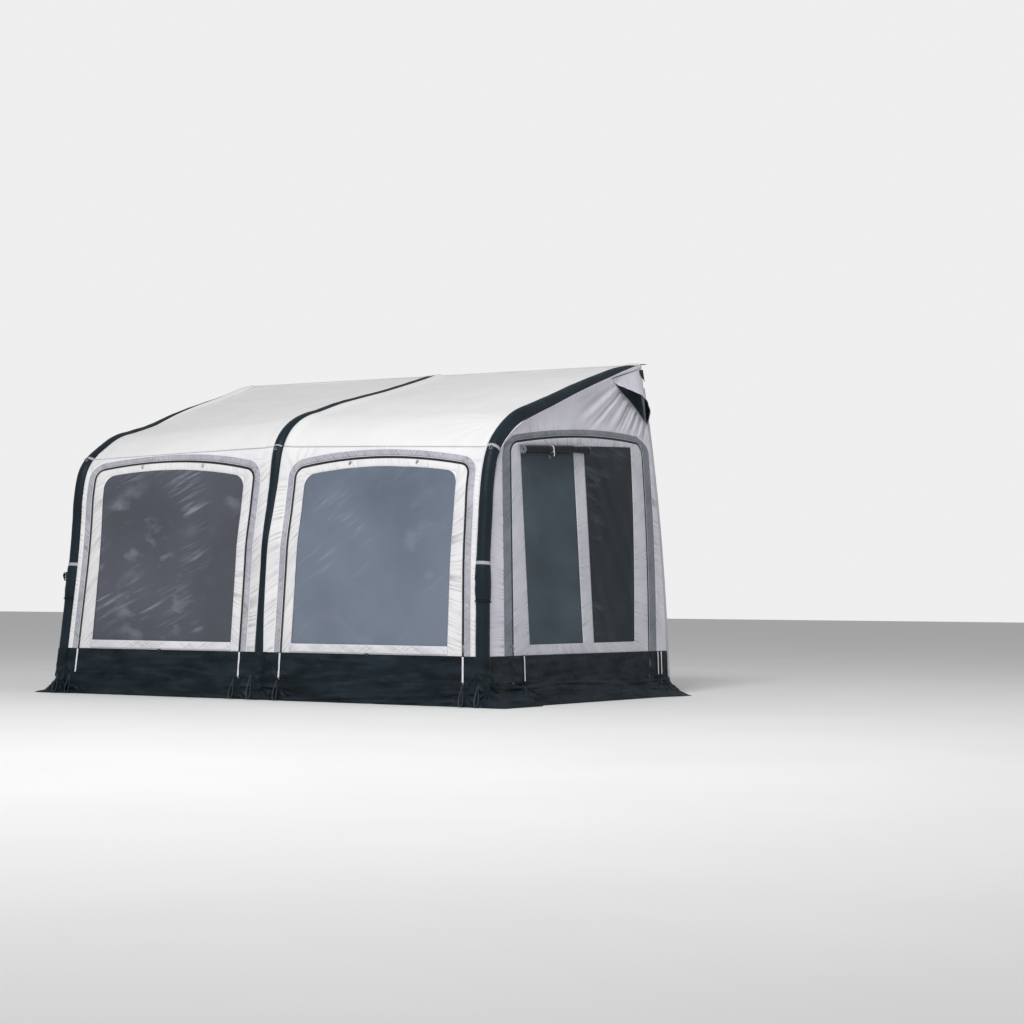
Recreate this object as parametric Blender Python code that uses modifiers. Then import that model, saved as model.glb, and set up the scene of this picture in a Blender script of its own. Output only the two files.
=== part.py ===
# Inflatable porch awning for a campervan: three air beams carry a sewn fabric shell that is open
# towards the vehicle. Metres, +Z up, +X along the vehicle, the front of the awning faces -Y.
# The shell is worked out from the line where it meets the vehicle's rail, and one empty then
# carries everything so that the middle of its footprint is the origin.

import math

import bmesh
import bpy
from mathutils import Matrix, Vector

# Overall size
FOOT_DEPTH = 2.50  # from the rail's plane to the foot of the front wall
RAIL_HEIGHT = 2.645  # top of the roof, where it reaches the rail
LEG_LEAN = math.radians(5.0)  # the front wall leans back
ROOF_PITCH = math.radians(15.95)
SHOULDER_RADIUS = 0.80  # bend between the front wall and the roof
FOOT_HALF_WIDTH = 1.93
SIDE_FLARE = 0.108  # the side walls spread by this much per metre towards the vehicle
SIDE_LEAN = 0.0625  # and lean in by this much per metre of height
RAIL_PULL = 0.105  # the rail draws the top rear corner in by this much
PULL_START = 0.25  # share of the wall's depth times height where that pull begins

# Fabric
CLOTH = 0.004
FOIL = 0.003
GAP = 0.0005  # between sewn neighbours
SEAT = 0.0004  # between a piece and what it lies on
SEAM_UNDER_RAIL = 0.811  # seam between the front wall and the roof, at the outer beams
SEAM_RISE = 0.065  # and how much higher it is at the centre beam
DARK_HEIGHT = 0.35  # top of the dark mudflap
ZIP_FOOT = 0.155  # the zips end here, above the ground skirt
FLAP_LIFT = 0.003  # the panels' lower edges clear the skirt by this much
FRONT_SPREAD = 0.02  # how far the hem lies out from the foot line, in front
SIDE_SPREAD = 0.20  # and at the sides
SPREAD_START = 0.12  # share of the spread that shapes the upper part of the skirt
FOLD_DEPTH = 0.007  # waves in the skirt's hem
FOLD_PITCH = 0.31

# Air beams
COVER_RADIUS = 0.050
COVER_WALL = 0.003
BEAM_WALL = 0.002
BEAM_CLEARANCE = 0.0006
BEAM_SINK = 0.020  # the beam's axis lies this far inside the shell
BEAM_TOP_INSET = 0.010
BEAM_FOOT_INSET = 0.006
COVER_SIDES = 16
LEG_STEPS = 3
BEND_STEPS = 12
ROOF_STEPS = 6

# Zips
TAPE_HALF = 0.006
TAPE_THICKNESS = 0.003
ZIP_COVER_THICKNESS = 0.002
FRONT_ZIP_COVER = 0.048
DOOR_ZIP_COVER = 0.062
SLIDER_WIDTH = 0.010
SLIDER_LENGTH = 0.022
SLIDER_THICKNESS = 0.0045
PULL_LENGTH = 0.034
PULL_WIDTH = 0.006
SLIDER_REST = 0.42  # height of the slider on its zip, with the zip closed
SLIDER_TRAVEL = 0.95

# Front panels, one in each bay
FRONT_ZIP_INNER = 0.185  # from the centre line of the awning
FRONT_ZIP_OUTER = 0.165  # from the side wall's surface
CROWN_UNDER_SEAM = 0.052  # the zip's arch lies this far under the seam
FRONT_RISE = 0.075  # rise of the arch over its ends
FRONT_FILLET = 0.085
WINDOW_INNER = 0.090  # border between the zip and the window
WINDOW_OUTER = 0.145  # border on the outer side, at the ground
WINDOW_TAPER = 0.022
WINDOW_BASE = 0.418
WINDOW_TOP = 0.062  # border under the arch
WINDOW_RISE = 0.055
WINDOW_FILLET = 0.070
POUCH_THICKNESS = 0.018
POUCH_FOOT = 0.358
POUCH_HEIGHT = 0.058
POUCH_MARGIN = 0.010

# Doors, one in each side wall. Places are distances in front of the rail's plane.
DOOR_BEHIND_FOOT = 0.363  # front zip, on the ground, from the foot of the front wall
DOOR_FRONT_LEAN = 0.0616  # and how far it moves back per metre of height
DOOR_REAR = 0.292
DOOR_REAR_LEAN = 0.076
DOOR_UNDER_RAIL = 0.715  # top of the door's arch
DOOR_RISE = 0.050
DOOR_TILT = 0.062  # the arch climbs towards the vehicle
DOOR_FILLET = 0.095
PANE_BORDER = 0.237  # from the front zip to the pane
POST_BEHIND_FOOT = 1.295
POST_WIDTH = 0.150
PANE_REAR = 0.475
PANE_REAR_LEAN = 0.100
PANE_BASE = 0.425
PANE_UNDER_CROWN = 0.095
ROLL_RADIUS = 0.034
ROLL_CORE = 0.006
ROLL_TURNS = 3.5
ROLL_PAST_PANE = 0.165  # and it reaches this far past the pane's width
ROLL_AHEAD = 0.015  # the roll starts in front of its pane
ROLL_CLOTH = 0.003

# Vents, at the top rear corner of each side wall
VENT_LENGTH = 0.58
VENT_SHORT_SIDE = 0.035
VENT_UNDER_RAIL = 0.495  # the vent's lower rear corner
HOOD_DROP = 0.008  # the hood's seam lies this far inside the wall's edges
HOOD_REACH = 0.095  # how far its free lip stands out
HOOD_RAISE = 0.115  # and how far that draws the lip up

# Rail edge
KEDER_WIDTH = 0.035
KEDER_OVERHANG = 0.050
BEAD_RADIUS = 0.004

# Rear pads
PAD_WIDTH = 0.070
PAD_DEPTH = 0.050
PAD_UNDER_RAIL = 0.185

# Roof braces
BRACE_RADIUS = 0.0095
BRACE_PLACE = 2.75  # along the beam, from its foot
BRACE_SIDES = 12
BRACE_END = 0.002  # the beams' covers lean past the rods' ends

# Pockets for the guy lines, on the outer beams
POCKET_TOP = 1.04
POCKET_LENGTH = 0.27
POCKET_THICKNESS = 0.010
POCKET_EDGE = 0.06  # angle kept clear of the front wall
POCKET_SIDE_EDGE = 0.16  # and of the side wall

# Valves
VALVE_HEIGHT = 0.27
PORT_RADIUS = 0.0126
STEM_RADIUS = 0.012
STEM_DEPTH = 0.016
FLANGE_RADIUS = 0.022
FLANGE_THICKNESS = 0.006
VALVE_SEAT = SEAT + FLANGE_RADIUS * math.tan(LEG_LEAN)  # the beam leans, the valve looks level
BARREL_RADIUS = 0.016
BARREL_LENGTH = 0.016
CAP_RADIUS = 0.018
CAP_THICKNESS = 0.008
VALVE_SIDES = 16

WELD = 1e-5

# Colours and surfaces: name, red, green, blue, roughness, metallic
FINISHES = {
    "roof_fabric": ((0.80, 0.79, 0.79), 0.75, 0.0),
    "front_fabric": ((0.84, 0.83, 0.83), 0.70, 0.0),
    "side_fabric": ((0.42, 0.41, 0.46), 0.70, 0.0),
    "dark_fabric": ((0.018, 0.028, 0.034), 0.60, 0.0),
    "zip_grey": ((0.36, 0.36, 0.40), 0.65, 0.0),
    "zip_black": ((0.01, 0.01, 0.012), 0.50, 0.0),
    "window_foil": ((0.12, 0.15, 0.19), 0.12, 0.0),
    "mesh_fabric": ((0.03, 0.04, 0.05), 0.80, 0.0),
    "bladder": ((0.62, 0.63, 0.60), 0.35, 0.0),
    "keder_plastic": ((0.80, 0.81, 0.82), 0.40, 0.0),
    "metal": ((0.62, 0.63, 0.65), 0.30, 1.0),
    "plastic": ((0.03, 0.03, 0.035), 0.45, 0.0),
    "glass_fibre": ((0.10, 0.10, 0.11), 0.40, 0.0),
    "foam_pad": ((0.25, 0.26, 0.28), 0.80, 0.0),
}

SIDES = {"left": -1, "right": 1}
BEAMS = {"left": -1, "centre": 0, "right": 1}


# Places that follow from the sizes above
SEAM_HEIGHT = RAIL_HEIGHT - SEAM_UNDER_RAIL
FRONT_CROWN = SEAM_HEIGHT - CROWN_UNDER_SEAM
DOOR_FRONT = FOOT_DEPTH - DOOR_BEHIND_FOOT
DOOR_CROWN = RAIL_HEIGHT - DOOR_UNDER_RAIL
PANE_FRONT = DOOR_FRONT - PANE_BORDER
POST_FRONT = FOOT_DEPTH - POST_BEHIND_FOOT
PANE_TOP = DOOR_CROWN - PANE_UNDER_CROWN
ROLL_START = PANE_FRONT + ROLL_AHEAD
ROLL_LENGTH = PANE_FRONT - POST_FRONT + ROLL_PAST_PANE
VENT_FOOT = RAIL_HEIGHT - VENT_UNDER_RAIL
PAD_TOP = RAIL_HEIGHT - PAD_UNDER_RAIL
WINDOW_WIDTH = FOOT_HALF_WIDTH - FRONT_ZIP_OUTER - FRONT_ZIP_INNER - WINDOW_INNER - WINDOW_OUTER


# The line of the front wall and roof, seen from the side


def solve_profile():
    """Lengths of the straight leg, the bend and the straight roof."""
    across = math.cos(LEG_LEAN + ROOF_PITCH)
    leg_full = (RAIL_HEIGHT * math.cos(ROOF_PITCH) - FOOT_DEPTH * math.sin(ROOF_PITCH)) / across
    roof_full = (FOOT_DEPTH * math.cos(LEG_LEAN) - RAIL_HEIGHT * math.sin(LEG_LEAN)) / across
    turn = math.pi / 2 - LEG_LEAN - ROOF_PITCH
    tangent = SHOULDER_RADIUS * math.tan(turn / 2)
    return leg_full - tangent, SHOULDER_RADIUS * turn, roof_full - tangent


LEG, BEND, ROOF = solve_profile()
BEND_END = LEG + BEND
TOTAL = LEG + BEND + ROOF


def heading(s):
    """Angle of the line above the horizontal, at distance s from the foot."""
    return math.pi / 2 - LEG_LEAN - min(max(s - LEG, 0.0), BEND) / SHOULDER_RADIUS


def profile(s, out=0.0):
    """Distance behind the rail's plane and height at distance s along the shell, out from it."""
    angle = heading(s)
    y = -FOOT_DEPTH + min(s, LEG) * math.sin(LEG_LEAN)
    z = min(s, LEG) * math.cos(LEG_LEAN)
    if s > LEG:
        centre_y = y + SHOULDER_RADIUS * math.cos(LEG_LEAN)
        centre_z = z - SHOULDER_RADIUS * math.sin(LEG_LEAN)
        y = centre_y - SHOULDER_RADIUS * math.sin(angle)
        z = centre_z + SHOULDER_RADIUS * math.cos(angle)
    if s > BEND_END:
        y += (s - BEND_END) * math.cos(ROOF_PITCH)
        z += (s - BEND_END) * math.sin(ROOF_PITCH)
    return y - out * math.sin(angle), z + out * math.cos(angle)


def length_at_height(height):
    """Distance along the shell at which it reaches a height."""
    low, high = 0.0, TOTAL
    for _ in range(40):
        middle = (low + high) / 2
        if profile(middle)[1] < height:
            low = middle
        else:
            high = middle
    return low


def side_x(y, z):
    """How far out the side wall's surface is."""
    depth = (y + FOOT_DEPTH) / FOOT_DEPTH
    pull = max(0.0, depth * z / RAIL_HEIGHT - PULL_START) / (1 - PULL_START)
    return FOOT_HALF_WIDTH + SIDE_FLARE * (y + FOOT_DEPTH) - SIDE_LEAN * z - RAIL_PULL * pull**2


def wall_point(x, s, out=0.0):
    """Point of the front wall or roof."""
    y, z = profile(s, out)
    return Vector((x, y, z))


def side_point(side, y, z, out=0.0):
    """Point of a side wall."""
    return Vector((side * (side_x(y, z) + out), y, z))


def beam_x(s):
    """How far out an outer beam's axis is."""
    return side_x(*profile(s)) - BEAM_SINK


def cover_reach(offset):
    """Half the width of the cover's many-sided section, at an offset from its axis."""
    step = 2 * math.pi / COVER_SIDES
    middle = (math.floor(math.asin(offset / COVER_RADIUS) / step) + 0.5) * step
    return (COVER_RADIUS * math.cos(step / 2) - offset * math.sin(middle)) / math.cos(middle)


def side_edge(s):
    """Depth under a beam's axis of the edge of the side wall, which drifts out on its way."""
    lean = heading(s)
    drift = SIDE_FLARE * math.sin(lean) + SIDE_LEAN * math.cos(lean)
    return cover_reach(BEAM_SINK - CLOTH + drift * (BEAM_SINK + COVER_RADIUS)) + GAP


# Distance from a beam's axis to the edge of the front wall or roof that is sewn to its cover
EDGE = cover_reach(BEAM_SINK - CLOTH) + GAP
ZIP_FOOT_S = length_at_height(ZIP_FOOT)
DARK_S = length_at_height(DARK_HEIGHT)
FRONT_REACH = FOOT_DEPTH + (COVER_RADIUS - BEAM_SINK) / math.cos(LEG_LEAN)
REAR_REACH = GAP + PAD_DEPTH
CENTRE_Y = (FRONT_REACH - REAR_REACH) / 2


def seam_length(x):
    """Where the seam between the front wall and the roof runs, from the foot, at x."""
    share = max(0.0, 1 - abs(x) / (FOOT_HALF_WIDTH - SIDE_LEAN * SEAM_HEIGHT))
    return length_at_height(SEAM_HEIGHT + SEAM_RISE * share)


def blend(a, b, t):
    return a + (b - a) * t


def spaced(a, b, count):
    """count + 1 values from a to b."""
    return [blend(a, b, i / count) for i in range(count + 1)]


# Scene, materials and objects


def clear_scene():
    for obj in list(bpy.data.objects):
        bpy.data.objects.remove(obj, do_unlink=True)


def make_material(name):
    colour, roughness, metallic = FINISHES[name]
    material = bpy.data.materials.new(name)
    material.use_nodes = True
    shader = material.node_tree.nodes["Principled BSDF"]
    shader.inputs["Base Color"].default_value = (*colour, 1.0)
    shader.inputs["Roughness"].default_value = roughness
    shader.inputs["Metallic"].default_value = metallic
    return material


clear_scene()
MATERIALS = {name: make_material(name) for name in FINISHES}
AWNING = bpy.data.collections.new("campervan_awning")
CUTTERS = bpy.data.collections.new("cutters")
bpy.context.scene.collection.children.link(AWNING)
bpy.context.scene.collection.children.link(CUTTERS)
FOOTPRINT = bpy.data.objects.new("footprint_centre", None)
FOOTPRINT.location = (0.0, CENTRE_Y, 0.0)
AWNING.objects.link(FOOTPRINT)


def pivot(name, point):
    """An empty on a joint's axis, which carries the pieces that move there."""
    empty = bpy.data.objects.new(name, None)
    empty.parent = FOOTPRINT
    empty.location = point
    AWNING.objects.link(empty)
    return empty


def place_object(name, bm, material, carrier=None):
    """Makes an object of the mesh, with its origin on its carrier."""
    if carrier is not None:
        bmesh.ops.translate(bm, verts=bm.verts, vec=-Vector(carrier.location))
    mesh = bpy.data.meshes.new(name)
    bm.to_mesh(mesh)
    bm.free()
    obj = bpy.data.objects.new(name, mesh)
    obj.parent = carrier or FOOTPRINT
    obj.data.materials.append(MATERIALS[material])
    AWNING.objects.link(obj)
    return obj


def add_grid(bm, columns, rows, place):
    """A grid of faces whose points are put where place(column, row) says."""
    made = bmesh.ops.create_grid(bm, x_segments=columns, y_segments=rows, size=1.0)
    for vert in made["verts"]:
        column = round((vert.co.x + 1) / 2 * columns)
        row = round((vert.co.y + 1) / 2 * rows)
        vert.co = place(column, row)


def face_outward(bm, outward):
    """Turns the faces so that on average they look along outward."""
    bm.normal_update()
    total = Vector((0.0, 0.0, 0.0))
    for face in bm.faces:
        total += face.normal * face.calc_area()
    if total.dot(outward) < 0:
        bmesh.ops.reverse_faces(bm, faces=bm.faces)


def thicken(obj, thickness, offset):
    solidify = obj.modifiers.new("thickness", "SOLIDIFY")
    solidify.thickness = thickness
    solidify.offset = offset
    solidify.use_even_offset = True
    return solidify


def add_fill(bm, outline, place):
    """Fills a flat outline with triangles and then puts each of its points where place says."""
    verts = [bm.verts.new((a, b, 0.0)) for a, b in outline]
    edges = [bm.edges.new((verts[i - 1], verts[i])) for i in range(len(verts))]
    bmesh.ops.triangle_fill(bm, use_beauty=True, edges=edges, normal=(0.0, 0.0, 1.0))
    for vert in verts:
        vert.co = place(vert.co.x, vert.co.y)


def cloth(name, grids, material, outward, carrier=None, thickness=CLOTH, offset=-1.0, fill=None):
    """A sewn sheet: grids, and perhaps a filled outline, welded where they meet and thickened."""
    bm = bmesh.new()
    for columns, rows, place in grids:
        add_grid(bm, columns, rows, place)
    if fill is not None:
        add_fill(bm, *fill)
    bmesh.ops.remove_doubles(bm, verts=bm.verts, dist=WELD)
    bmesh.ops.recalc_face_normals(bm, faces=bm.faces)
    face_outward(bm, Vector(outward))
    obj = place_object(name, bm, material, carrier)
    thicken(obj, thickness, offset)
    return obj


def ring(inner, outer, rows=2, closed=False):
    """A grid between two lines of points of equal count, given on one flat pattern."""
    inner = inner + inner[:1] if closed else inner
    outer = outer + outer[:1] if closed else outer

    def pattern(column, row):
        a, b = inner[column], outer[column]
        t = row / rows
        return blend(a[0], b[0], t), blend(a[1], b[1], t)

    return len(inner) - 1, rows, pattern


def on_front(grid, side, out=0.0):
    """Lays a flat pattern of (x, distance up the wall) on the front wall."""
    columns, rows, pattern = grid

    def place(column, row):
        x, s = pattern(column, row)
        return wall_point(side * x, s, out)

    return columns, rows, place


def on_side(grid, side, out=0.0):
    """Lays a flat pattern of (y, z) on a side wall."""
    columns, rows, pattern = grid

    def place(column, row):
        y, z = pattern(column, row)
        return side_point(side, y, z, out)

    return columns, rows, place


def rectangle(left, right, low, high, columns, rows):
    """A flat pattern between two upright lines, each a function of height, and two levels."""

    def pattern(column, row):
        level = blend(low, high, row / rows)
        return blend(left(level), right(level), column / columns), level

    return columns, rows, pattern


def arch(left, right, side_levels, crown, rise, fillet, corner_steps, crown_steps):
    """Points and outward normals of an arched outline, from its lower left to its lower right.

    left and right give the uprights' places by height. The top is one shallow arc, and a fillet
    joins it to each upright.
    """
    level = crown - rise - fillet
    for _ in range(4):
        x_left, x_right = left(level), right(level)
        half = (x_right - x_left) / 2
        middle = (x_left + x_right) / 2
        radius = (half**2 + rise**2) / (2 * rise)
        centre = crown - radius
        reach = half - fillet
        level = centre + math.sqrt((radius - fillet) ** 2 - reach**2)
    meet = math.asin(reach / (radius - fillet))
    points = [(left(h), h, -1.0, 0.0) for h in side_levels(level)]
    for i in range(1, corner_steps + 1):
        angle = blend(math.pi, math.pi / 2 + meet, i / corner_steps)
        nx, nz = math.cos(angle), math.sin(angle)
        points.append((x_left + fillet + fillet * nx, level + fillet * nz, nx, nz))
    for i in range(1, crown_steps):
        angle = blend(math.pi / 2 + meet, math.pi / 2 - meet, i / crown_steps)
        nx, nz = math.cos(angle), math.sin(angle)
        points.append((middle + radius * nx, centre + radius * nz, nx, nz))
    for i in range(corner_steps):
        angle = blend(math.pi / 2 - meet, 0.0, i / corner_steps)
        nx, nz = math.cos(angle), math.sin(angle)
        points.append((x_right - fillet + fillet * nx, level + fillet * nz, nx, nz))
    points += [(right(h), h, 1.0, 0.0) for h in reversed(side_levels(level))]
    return points


def offset_line(points, distance):
    """The outline moved out by a distance."""
    return [(x + nx * distance, z + nz * distance) for x, z, nx, nz in points]


# Air beams, their covers, valves and braces


def beam_axis(side, s):
    x = side * beam_x(s) if side else 0.0
    return wall_point(x, s, -BEAM_SINK)


def around_beam(side, s, radius, angle):
    """Point round a beam: angle 0 looks out of the shell, 90 degrees looks out sideways."""
    lean = heading(s)
    out = Vector((0.0, -math.sin(lean), math.cos(lean)))
    across = Vector((side or 1, 0.0, 0.0))
    return beam_axis(side, s) + radius * (math.cos(angle) * out + math.sin(angle) * across)


def beam_stations():
    return (
        spaced(0.0, LEG, LEG_STEPS)
        + spaced(LEG, BEND_END, BEND_STEPS)[1:]
        + spaced(BEND_END, TOTAL - BEAM_TOP_INSET, ROOF_STEPS)[1:]
    )


def cut_level(point, s, floor):
    """Slides a point along the beam to the level of the floor."""
    lean = heading(s)
    along = Vector((0.0, math.cos(lean), math.sin(lean)))
    return point + along * ((floor - point.z) / along.z)


def tube_grid(side, radius, stations, floor):
    def place(column, row):
        angle = 2 * math.pi * column / COVER_SIDES
        point = around_beam(side, stations[row], radius, angle)
        return cut_level(point, stations[row], floor) if row == 0 else point

    return COVER_SIDES, len(stations) - 1, place


def capped_tube_grid(side, radius, stations, floor):
    """The same, closed at both ends by a point on the axis."""
    columns, rows, tube = tube_grid(side, radius, stations, floor)

    def place(column, row):
        if row == 0:
            return cut_level(beam_axis(side, stations[0]), stations[0], floor)
        if row == rows + 2:
            return beam_axis(side, stations[-1])
        return tube(column, row - 1)

    return columns, rows + 2, place


def valve_frame(side):
    """Matrix whose Z axis looks into the awning, level, from the beam's skin."""
    s = length_at_height(VALVE_HEIGHT)
    look = Vector((-side, 1.0, 0.0)).normalized()
    axis = beam_axis(side, s)
    origin = axis + look * COVER_RADIUS
    up = Vector((0.0, 0.0, 1.0))
    across = up.cross(look)
    return Matrix.Translation(origin) @ Matrix((across, up, look)).transposed().to_4x4()


def add_turned(bm, profile_line, frame, sides):
    """A turned solid: a line of (radius, height) carried round the frame's Z axis."""

    def place(column, row):
        radius, height = profile_line[row]
        angle = 2 * math.pi * column / sides
        return frame @ Vector((radius * math.cos(angle), radius * math.sin(angle), height))

    add_grid(bm, sides, len(profile_line) - 1, place)


def turned(name, line, frame, material, sides, carrier=None):
    bm = bmesh.new()
    add_turned(bm, line, frame, sides)
    bmesh.ops.remove_doubles(bm, verts=bm.verts, dist=WELD)
    bmesh.ops.recalc_face_normals(bm, faces=bm.faces)
    return place_object(name, bm, material, carrier)


def rod_line(radius, low, high):
    return [(0.0, high), (radius, high), (radius, low), (0.0, low)]


def cut(obj, cutter):
    boolean = obj.modifiers.new("port", "BOOLEAN")
    boolean.operation = "DIFFERENCE"
    boolean.solver = "EXACT"
    boolean.object = cutter


def make_port_cutter(label, frame):
    cutter = turned(
        "port_cutter_" + label,
        rod_line(PORT_RADIUS, -COVER_RADIUS, COVER_RADIUS),
        frame,
        "plastic",
        VALVE_SIDES,
    )
    AWNING.objects.unlink(cutter)
    CUTTERS.objects.link(cutter)
    cutter.hide_render = True
    cutter.display_type = "WIRE"
    return cutter


def make_beams():
    stations = beam_stations()
    inner_radius = COVER_RADIUS - COVER_WALL - BEAM_CLEARANCE
    inner_stations = stations[:-1] + [stations[-1] - BEAM_TOP_INSET]
    for label, side in BEAMS.items():
        cover = cloth(
            "beam_cover_" + label,
            [tube_grid(side, COVER_RADIUS, stations, COVER_WALL * math.sin(LEG_LEAN))],
            "dark_fabric",
            (0.0, 0.0, 0.0),
            thickness=COVER_WALL,
        )
        beam = cloth(
            "air_beam_" + label,
            [capped_tube_grid(side, inner_radius, inner_stations, BEAM_FOOT_INSET)],
            "bladder",
            (0.0, 0.0, 0.0),
            thickness=BEAM_WALL,
        )
        cutter = make_port_cutter(label, valve_frame(side))
        cut(cover, cutter)
        cut(beam, cutter)


def make_valves():
    base = VALVE_SEAT
    flange_top = base + FLANGE_THICKNESS
    barrel_top = flange_top + BARREL_LENGTH
    body = [
        (0.0, barrel_top),
        (BARREL_RADIUS, barrel_top),
        (BARREL_RADIUS, flange_top),
        (FLANGE_RADIUS, flange_top),
        (FLANGE_RADIUS, base),
        (STEM_RADIUS, base),
        (STEM_RADIUS, -STEM_DEPTH),
        (0.0, -STEM_DEPTH),
    ]
    cap = rod_line(CAP_RADIUS, barrel_top + SEAT, barrel_top + SEAT + CAP_THICKNESS)
    for label, side in BEAMS.items():
        frame = valve_frame(side)
        turned("inflation_valve_" + label, body, frame, "plastic", VALVE_SIDES)
        hinge = frame @ Vector((0.0, CAP_RADIUS, barrel_top + SEAT))
        carrier = pivot("valve_cap_hinge_" + label, hinge)
        turned("valve_cap_" + label, cap, frame, "plastic", VALVE_SIDES, carrier)


def make_braces():
    """Rods that hold the beams apart, under the roof."""
    y, z = profile(BRACE_PLACE, -BEAM_SINK)
    for label, side in SIDES.items():
        start = COVER_RADIUS + SEAT
        end = beam_x(BRACE_PLACE) - COVER_RADIUS - BRACE_END
        frame = Matrix.Translation((side * start, y, z)) @ Matrix.Rotation(side * math.pi / 2, 4, "Y")
        turned(
            "brace_pole_" + label,
            rod_line(BRACE_RADIUS, 0.0, end - start),
            frame,
            "glass_fibre",
            BRACE_SIDES,
        )


def make_pockets():
    """Pockets for the guy lines, with the band that holds them, round the outer beams' legs."""
    wall_angle = math.acos(BEAM_SINK / COVER_RADIUS)
    low = -wall_angle + POCKET_EDGE
    high = math.pi / 2 + wall_angle - POCKET_SIDE_EDGE
    top = length_at_height(POCKET_TOP)
    columns = 18
    for label, side in SIDES.items():

        def place(column, row, side=side):
            angle = blend(low, high, column / columns)
            s = top - POCKET_LENGTH * (1 - row)
            return around_beam(side, s, COVER_RADIUS + SEAT, angle)

        outward = (side, -1.0, 0.0)
        grid = (columns, 1, place)
        cloth("guy_pocket_" + label, [grid], "dark_fabric", outward, None, POCKET_THICKNESS, 1.0)


# Roof and the edge that the rail holds


SEAM_COLUMNS = 8


def seam_line(drop):
    """Points of the seam as (x, distance up the shell), from the centre to the outer beam."""
    low = length_at_height(SEAM_HEIGHT)
    outer = beam_x(low) - EDGE
    return [(x, seam_length(x) - drop) for x in spaced(EDGE, outer, SEAM_COLUMNS)]


def make_roof():
    start = [s for _, s in seam_line(-GAP)]
    clear = max(start) + GAP
    stations = [s for s in beam_stations()[:-1] if s > clear] + [TOTAL - GAP]
    first_rows = 3
    for label, side in SIDES.items():

        def place(column, row, side=side):
            if row < first_rows:
                s = blend(start[column], stations[0], row / first_rows)
            else:
                s = stations[row - first_rows]
            x = blend(EDGE, beam_x(s) - EDGE, column / SEAM_COLUMNS)
            return wall_point(side * x, s)

        grid = (SEAM_COLUMNS, first_rows + len(stations) - 1, place)
        cloth("roof_" + label, [grid], "roof_fabric", (0, -1, 1))


def make_keder():
    reach = side_x(*profile(TOTAL)) + KEDER_OVERHANG

    def place(column, row):
        return wall_point(blend(-reach, reach, column), blend(TOTAL, TOTAL + KEDER_WIDTH, row))

    cloth("keder_strip", [(1, 1, place)], "front_fabric", (0, -1, 1))
    y, z = profile(TOTAL + KEDER_WIDTH + BEAD_RADIUS + SEAT, -CLOTH / 2)
    frame = Matrix.Translation((-reach, y, z)) @ Matrix.Rotation(math.pi / 2, 4, "Y")
    bead = rod_line(BEAD_RADIUS, 0.0, 2 * reach)
    turned("keder_bead", bead, frame, "keder_plastic", BRACE_SIDES)


# Zips: the outlines are shared by the walls, the tapes, their covers and the panels

CORNER_STEPS = 3
CROWN_STEPS = 8
DOOR_SIDE_STEPS = 5


def front_outer(s):
    """Where the outer zip of a front panel runs."""
    return side_x(*profile(s)) - FRONT_ZIP_OUTER


def front_inner(s):
    return FRONT_ZIP_INNER


def front_levels(low):
    """Levels on the uprights of a front outline: the leg is flat, and the bend takes a few more."""

    def levels(top):
        return [low, LEG, blend(LEG, top, 0.5), top]

    return levels


def front_arch(low, foot=()):
    """Outline of a front zip, with any extra levels below the light cloth."""

    def levels(top):
        return [*foot, *front_levels(low)(top)]

    crown = length_at_height(FRONT_CROWN)
    return arch(
        front_inner, front_outer, levels, crown, FRONT_RISE, FRONT_FILLET, CORNER_STEPS, CROWN_STEPS
    )


def window_outer(s):
    return FRONT_ZIP_INNER + WINDOW_INNER + WINDOW_WIDTH - WINDOW_TAPER * s


def window_inner(s):
    return FRONT_ZIP_INNER + WINDOW_INNER


def window_arch(low):
    crown = length_at_height(FRONT_CROWN - WINDOW_TOP)
    levels = front_levels(low)
    return arch(
        window_inner,
        window_outer,
        levels,
        crown,
        WINDOW_RISE,
        WINDOW_FILLET,
        CORNER_STEPS,
        CROWN_STEPS,
    )


def door_front(h):
    return -DOOR_FRONT + DOOR_FRONT_LEAN * h


def door_rear(h):
    return -DOOR_REAR + DOOR_REAR_LEAN * h


def door_arch(low, foot=()):
    def levels(top):
        return [*foot, *spaced(low, top, DOOR_SIDE_STEPS)]

    return arch(
        door_front, door_rear, levels, DOOR_CROWN, DOOR_RISE, DOOR_FILLET, CORNER_STEPS, CROWN_STEPS
    )


def tilt(y, h):
    """The door's outline is drawn level and then tilted, so that its arch climbs to the rear."""
    share = max(0.0, (h - DARK_HEIGHT) / (DOOR_CROWN - DARK_HEIGHT))
    return y, h + DOOR_TILT * (y - door_front(h)) * share


def on_door(grid, side, out=0.0):
    columns, rows, pattern = grid

    def tilted(column, row):
        return tilt(*pattern(column, row))

    return on_side((columns, rows, tilted), side, out)


def side_outward(side):
    return (side, -0.1, 0.05)


FRONT_OUTWARD = (0.0, -1.0, 0.2)
PANEL_CUT = TAPE_HALF + GAP
COVER_START = TAPE_HALF + 4 * GAP
FRONT_COVER_END = COVER_START + FRONT_ZIP_COVER
DOOR_COVER_END = COVER_START + DOOR_ZIP_COVER


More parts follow.
